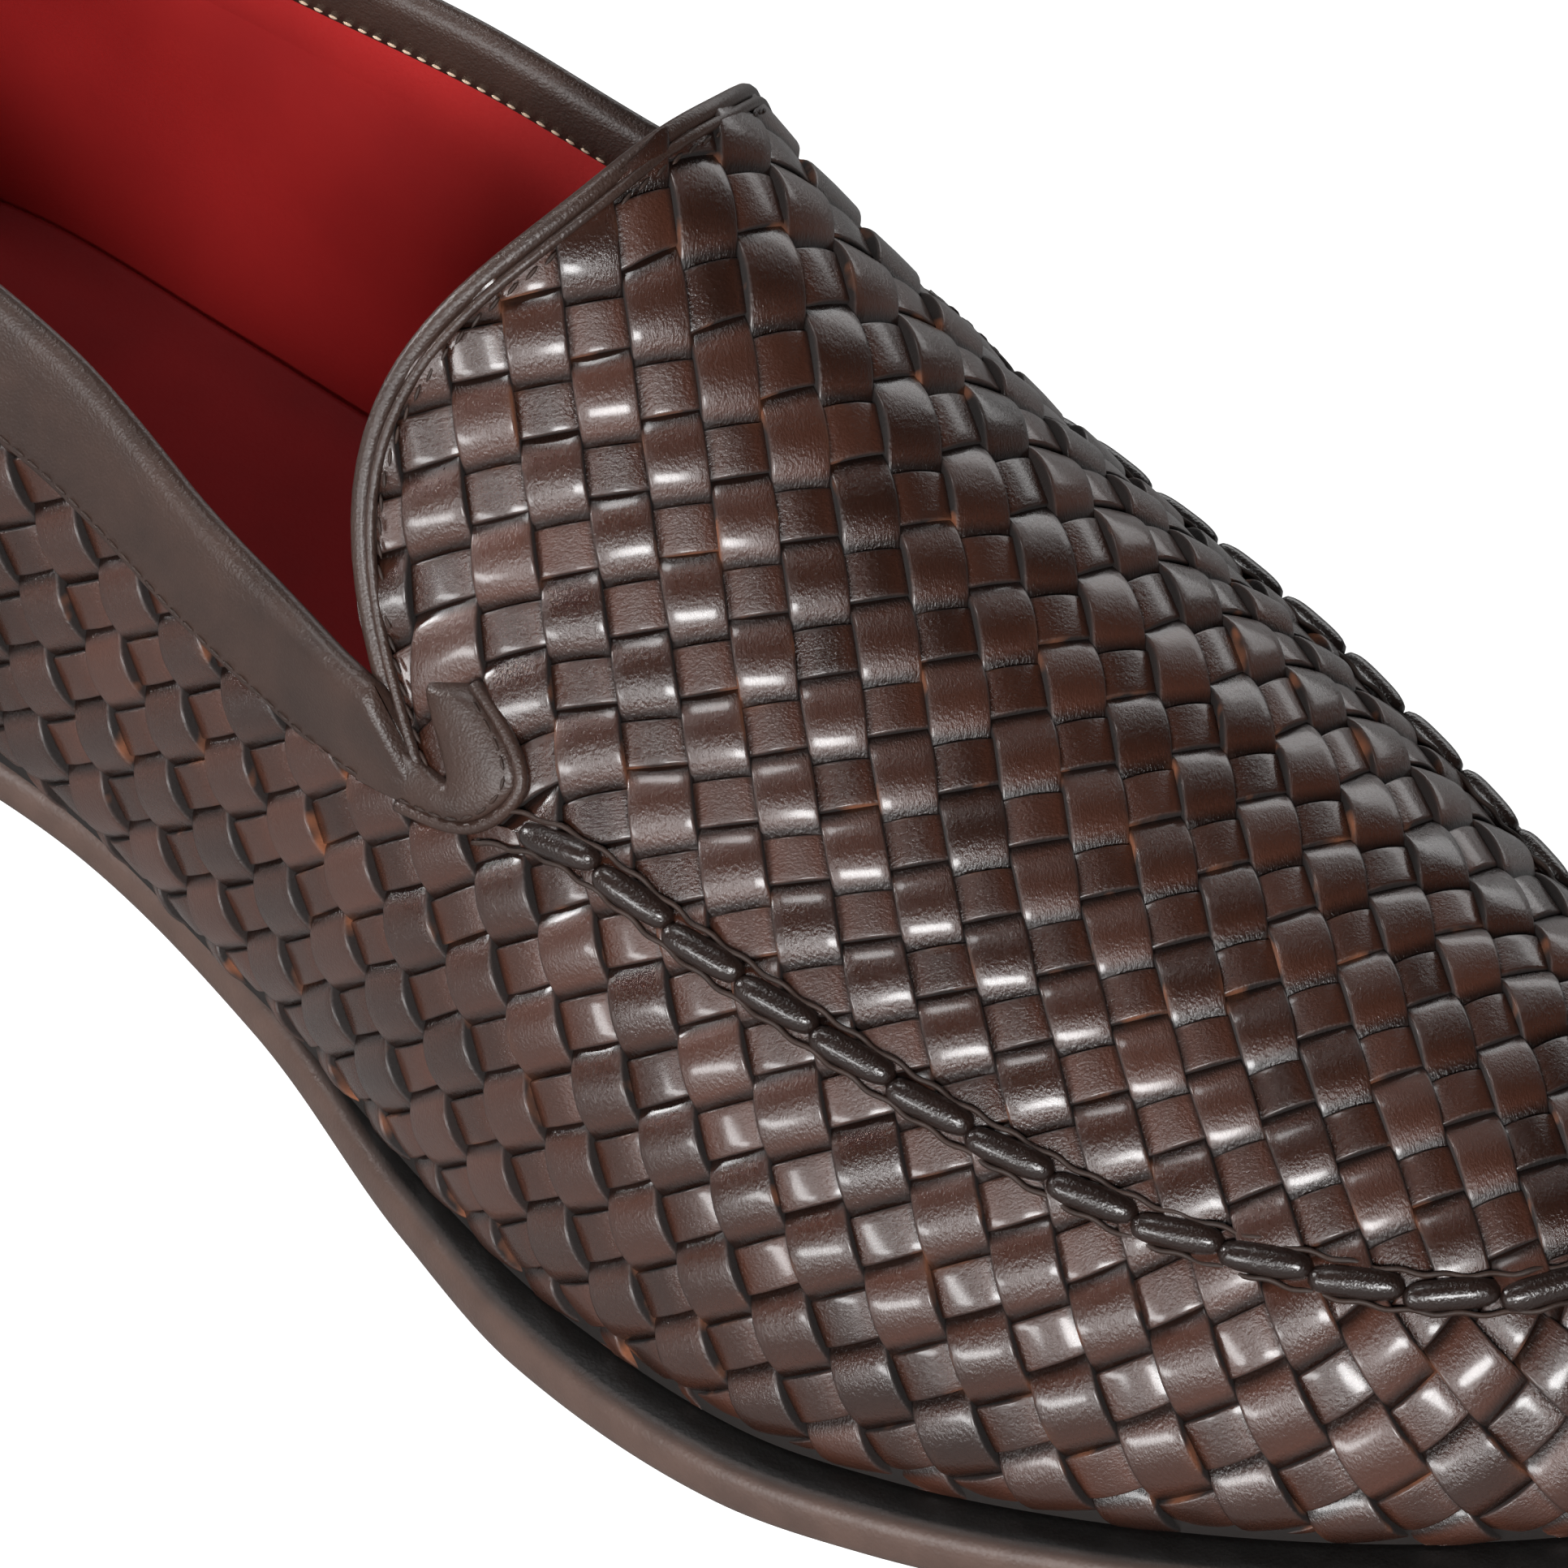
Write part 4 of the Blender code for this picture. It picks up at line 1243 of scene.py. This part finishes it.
throat = np.vstack([apron[-1], apron[0, -2::-1]])
relax(throat, THROAT_SMOOTHING)
throat_inside = np.vstack([apron[-4], apron[3, -2::-1]])
throat_up = np.vstack([apron_normals[-1], apron_normals[0, -2::-1]])
throat_back = unit(throat - throat_inside)
throat_total, throat_read = along_path(throat, throat_up, throat_back)
throat_at = np.linspace(BINDING_END, throat_total - BINDING_END, BINDING_STEPS)
spot, up, back = throat_read(throat_at)
up = unit(up)
back = unit(back)
rolls = [tube(spot + back * out + up * lift, up, radius) for radius, out, lift in ROLL_ROWS]
binding = new_piece("throat_binding_rolls", *joined(rolls), trim_leather)
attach(binding, "root")
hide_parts("throat_binding")
binding_stitches = new_piece(
    "throat_stitches",
    *stitch_row(spot - back * BINDING_STITCH_IN, up, **BINDING_STITCH),
    brown_thread,
)
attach(binding_stitches, "root")

# Side tabs: a padded leaf of smooth leather that goes on from the front of the collar band, turns up round
# the foot of the gusset and ends square, with a piped edge on the side towards the toe.
# Tab rows: left_x, left_z, right_x, right_z
TAB_ROWS = (
    (144.0, 55.0, 142.5, 47.8),
    (149.0, 52.7, 147.6, 47.8),
    (152.4, 51.7, 151.8, 48.2),
    (152.8, 52.2, 155.7, 48.5),
    (152.3, 53.2, 158.5, 51.4),
    (151.0, 55.0, 160.1, 54.3),
    (149.6, 57.0, 159.6, 56.9),
    (148.1, 59.0, 156.6, 60.2),
    (147.6, 61.4, 152.0, 63.2),
)
TAB_LIFT = 1.25
TAB_PUFF = 0.8
TAB_STEPS = 60
TAB_ROOT_STEPS = 8
TAB_END_SHARE = 0.06
TAB_ROOT_SHARE = 0.25
TAB_STITCH_PLACE = -4
TAB_REACH_Y = 36.0
TAB_OUTER_RISE = 1.8
TAB_SMOOTHING = 14
TAB_FLOOR = -1.4
TAB_STITCH = {"pitch": 1.9, "length": 1.4, "width": 0.4, "lift": 0.05}
# Section rows: share of the way across the leaf, and share of its puff
TAB_SECTION_ROWS = (
    (0.0, -1.4),
    (0.0, -0.2),
    (0.03, 0.25),
    (0.1, 0.6),
    (0.28, 0.92),
    (0.5, 1.0),
    (0.72, 0.92),
    (0.9, 0.6),
    (0.97, 0.25),
    (1.0, -0.2),
    (1.0, -1.4),
)
CORD_RADIUS = 0.7
CORD_OUT_SHARE = 0.8
CORD_LIFT_SHARE = 0.7

skin_points, skin_faces = joined([
    (wall, wall_faces),
    (apron, apron_faces),
    (band, grid_faces(len(band_columns), BAND_ROWS + 1)),
])
skin_tree = BVHTree.FromPolygons(skin_points.tolist(), skin_faces)


def on_skin(points, side):
    """Nearest places on the upper's skin and their outward normals."""
    found = [skin_tree.find_nearest(Vector(point)) for point in points]
    spots = np.array([hit[0] for hit in found])
    normals = np.array([hit[1] for hit in found])
    flip = np.where(normals[:, 1] * side < 0, -1.0, 1.0)
    return spots, unit(normals * flip[:, None])


def smoothed_path(rows, steps, passes):
    """Rounded lines through a few rows of points."""
    rows = np.array(rows, float)
    run = np.linspace(0.0, 1.0, len(rows))
    fine = np.linspace(0.0, 1.0, steps)
    line = np.column_stack([np.interp(fine, run, rows[:, k]) for k in range(rows.shape[1])])
    relax(line, passes)
    return line


section = np.array(TAB_SECTION_ROWS)
tab_lines = smoothed_path(TAB_ROWS, TAB_STEPS, TAB_SMOOTHING)
tab_left, tab_right = tab_lines[:, :2], tab_lines[:, 2:]
tab_run = np.linspace(0.0, 1.0, TAB_STEPS)
tab_end = np.clip((1 - tab_run) / TAB_END_SHARE, 0.0, 1.0) ** 0.5
tab_puff = TAB_PUFF * np.clip(tab_run / TAB_ROOT_SHARE, 0.0, 1.0)
for title, side in (("inner", -1.0), ("outer", 1.0)):
    flat = tab_left[:, None] * (1 - section[None, :, :1]) + tab_right[:, None] * section[None, :, :1]
    rise_z = TAB_OUTER_RISE if side > 0 else 0.0
    guess_y = np.full(flat.shape[:2], side * TAB_REACH_Y)
    guess = np.stack([flat[..., 0], guess_y, flat[..., 1] + rise_z], axis=-1)
    spot, up = on_skin(guess.reshape(-1, 3), side)
    spot = spot.reshape(guess.shape)
    up = up.reshape(guess.shape)
    for _ in range(TAB_SMOOTHING):
        up[1:-1] = unit(up[:-2] + up[1:-1] + up[2:])
        up[:, 1:-1] = unit(up[:, :-2] + up[:, 1:-1] + up[:, 2:])
    relax(spot, TAB_SMOOTHING)
    rise = TAB_FLOOR + (tab_puff[:, None] * section[None, :, 1] - TAB_FLOOR) * tab_end[:, None]
    pad = spot + up * (TAB_LIFT + rise)[..., None]
    faces = grid_faces(TAB_STEPS, len(section))
    faces = (faces if side < 0 else faces[:, ::-1]).tolist()
    tab = new_piece(f"side_tab_{title}_leaf", pad.reshape(-1, 3), faces, trim_leather)
    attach(tab, "root")
    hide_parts(f"side_tab_{title}")
    edge_out = unit(spot[:, -1] - spot[:, 0])
    cord_line = spot[:, -1] + edge_out * CORD_RADIUS * CORD_OUT_SHARE
    cord_line = cord_line + up[:, -1] * (TAB_LIFT * CORD_LIFT_SHARE)
    cord_body = tube(cord_line[TAB_ROOT_STEPS:], up[TAB_ROOT_STEPS:, -1], CORD_RADIUS)
    cord = new_piece(f"side_tab_{title}_piping", *cord_body, trim_leather)
    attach(cord, "root")
    stitch_path = pad[TAB_ROOT_STEPS:-2, TAB_STITCH_PLACE]
    tab_stitches = new_piece(
        f"side_tab_{title}_stitches",
        *stitch_row(stitch_path, up[TAB_ROOT_STEPS:-2, TAB_STITCH_PLACE], **TAB_STITCH),
        brown_thread,
    )
    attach(tab_stitches, "root")

# Studio: a floor that is white to the camera and darker to reflections, softboxes in front, beside and
# behind, two small spots into the shoe, and the camera at the photograph's angle and close framing.
FLOOR_SIZE = 6.0
FLOOR_CELLS = 8
FLOOR_GLOW = 1.1
FLOOR_SHINE = 0.1
FLOOR_GREYS = (0.3, 0.33)
FLOOR_MOTTLE = 3.0
FLOOR_ROUGH = 0.9
LINING_SPREAD = np.radians(28.0)
SOCK_SPREAD = np.radians(50.0)
SKY_LOW = 0.34
SKY_HIGH = 0.14
SKY_LOW_Z = 0.25
SKY_HIGH_Z = 0.7
IMAGE_SIDE = 1932.0
AZIMUTH = np.radians(36.276)
ELEVATION = np.radians(38.721)
ROLL = np.radians(1.285)
CAMERA_DISTANCE = 1177.0
CAMERA_TARGET = (169.06, 0.0, 48.15)
TARGET_PIXEL = (1019.64, 852.91)
PIXELS_PER_MM = 13.09
SENSOR = 36.0
VIEW_END = 20.0
# Light rows: name, place, aim, width, height, watts, spread
LIGHT_ROWS = (
    ("front_softbox", (0.72, -0.95, 0.6), (0.03, 0.0, 0.05), 0.42, 0.26, 16.0, np.pi),
    ("side_softbox", (-0.12, -1.3, 0.28), (-0.02, 0.0, 0.05), 0.55, 0.2, 9.0, np.pi),
    ("back_softbox", (-0.35, 1.3, 0.45), (0.0, 0.0, 0.05), 1.4, 0.4, 5.0, np.pi),
    ("lining_spot", (-0.42, -0.13, 0.24), (0.015, 0.036, 0.065), 0.1, 0.1, 0.06, LINING_SPREAD),
    ("sock_spot", (-0.17, 0.0, 0.5), (-0.05, 0.0, 0.03), 0.1, 0.1, 0.06, SOCK_SPREAD),
)

floor_material, floor_tree, floor_shader = new_material("studio_floor")
floor_noise = put(floor_tree, "ShaderNodeTexNoise", {"Scale": FLOOR_MOTTLE}).outputs["Fac"]
seen = put(floor_tree, "ShaderNodeLightPath").outputs["Is Camera Ray"]
for title, share, low, high in (
    ("Base Color", floor_noise, *FLOOR_GREYS),
    ("Emission Color", seen, FLOOR_SHINE, 1.0),
):
    grey = mixed(floor_tree, share, (low, low, low, 1.0), (high, high, high, 1.0))
    floor_tree.links.new(grey, floor_shader.inputs[title])
floor_shader.inputs["Roughness"].default_value = FLOOR_ROUGH
floor_shader.inputs["Emission Strength"].default_value = FLOOR_GLOW
floor_mesh = bpy.data.meshes.new("studio_floor")
ticks = np.linspace(-FLOOR_SIZE / 2, FLOOR_SIZE / 2, FLOOR_CELLS + 1)
floor_points = [(x, y, 0.0) for x in ticks for y in ticks]
floor_mesh.from_pydata(floor_points, [], grid_faces(FLOOR_CELLS + 1, FLOOR_CELLS + 1)[:, ::-1].tolist())
floor_mesh.materials.append(floor_material)
floor = bpy.data.objects.new("studio_floor", floor_mesh)
bpy.context.scene.collection.objects.link(floor)

world = bpy.data.worlds.new("studio")
world.use_nodes = True
sky_tree = world.node_tree
sky_way = put(sky_tree, "ShaderNodeTexCoord").outputs["Generated"]
sky_height = put(sky_tree, "ShaderNodeSeparateXYZ", {"Vector": sky_way})
sky = put(sky_tree, "ShaderNodeMapRange", {
    "Value": sky_height.outputs["Z"],
    "From Min": SKY_LOW_Z, "From Max": SKY_HIGH_Z, "To Min": SKY_LOW, "To Max": SKY_HIGH,
})
sky_tree.links.new(sky.outputs["Result"], sky_tree.nodes["Background"].inputs["Strength"])
bpy.context.scene.world = world

for name, spot, aim, wide, high, power, spread in LIGHT_ROWS:
    lamp = bpy.data.lights.new(name, "AREA")
    lamp.shape = "RECTANGLE"
    lamp.spread = spread
    lamp.size = wide
    lamp.size_y = high
    lamp.energy = power
    light = bpy.data.objects.new(name, lamp)
    bpy.context.scene.collection.objects.link(light)
    light.location = spot
    light.rotation_euler = (Vector(aim) - Vector(spot)).to_track_quat("-Z", "Y").to_euler()

camera_data = bpy.data.cameras.new("photo_camera")
camera = bpy.data.objects.new("photo_camera", camera_data)
bpy.context.scene.collection.objects.link(camera)
back = Vector((
    np.sin(AZIMUTH) * np.cos(ELEVATION),
    -np.cos(AZIMUTH) * np.cos(ELEVATION),
    np.sin(ELEVATION),
))
flat_right = Vector((np.cos(AZIMUTH), np.sin(AZIMUTH), 0.0))
flat_up = back.cross(flat_right)
right = flat_right * np.cos(ROLL) + flat_up * np.sin(ROLL)
above = flat_up * np.cos(ROLL) - flat_right * np.sin(ROLL)
camera_spot = Vector(place(CAMERA_TARGET)) + back * CAMERA_DISTANCE * MM
turned = Matrix((right, above, back)).transposed().to_4x4()
camera.matrix_world = Matrix.Translation(camera_spot) @ turned
camera_data.sensor_width = SENSOR
camera_data.lens = SENSOR * CAMERA_DISTANCE * PIXELS_PER_MM / IMAGE_SIDE
camera_data.shift_x = (IMAGE_SIDE / 2 - TARGET_PIXEL[0]) / IMAGE_SIDE
camera_data.shift_y = (TARGET_PIXEL[1] - IMAGE_SIDE / 2) / IMAGE_SIDE
camera_data.clip_end = VIEW_END
bpy.context.scene.camera = camera
bpy.context.scene.view_settings.view_transform = "Standard"
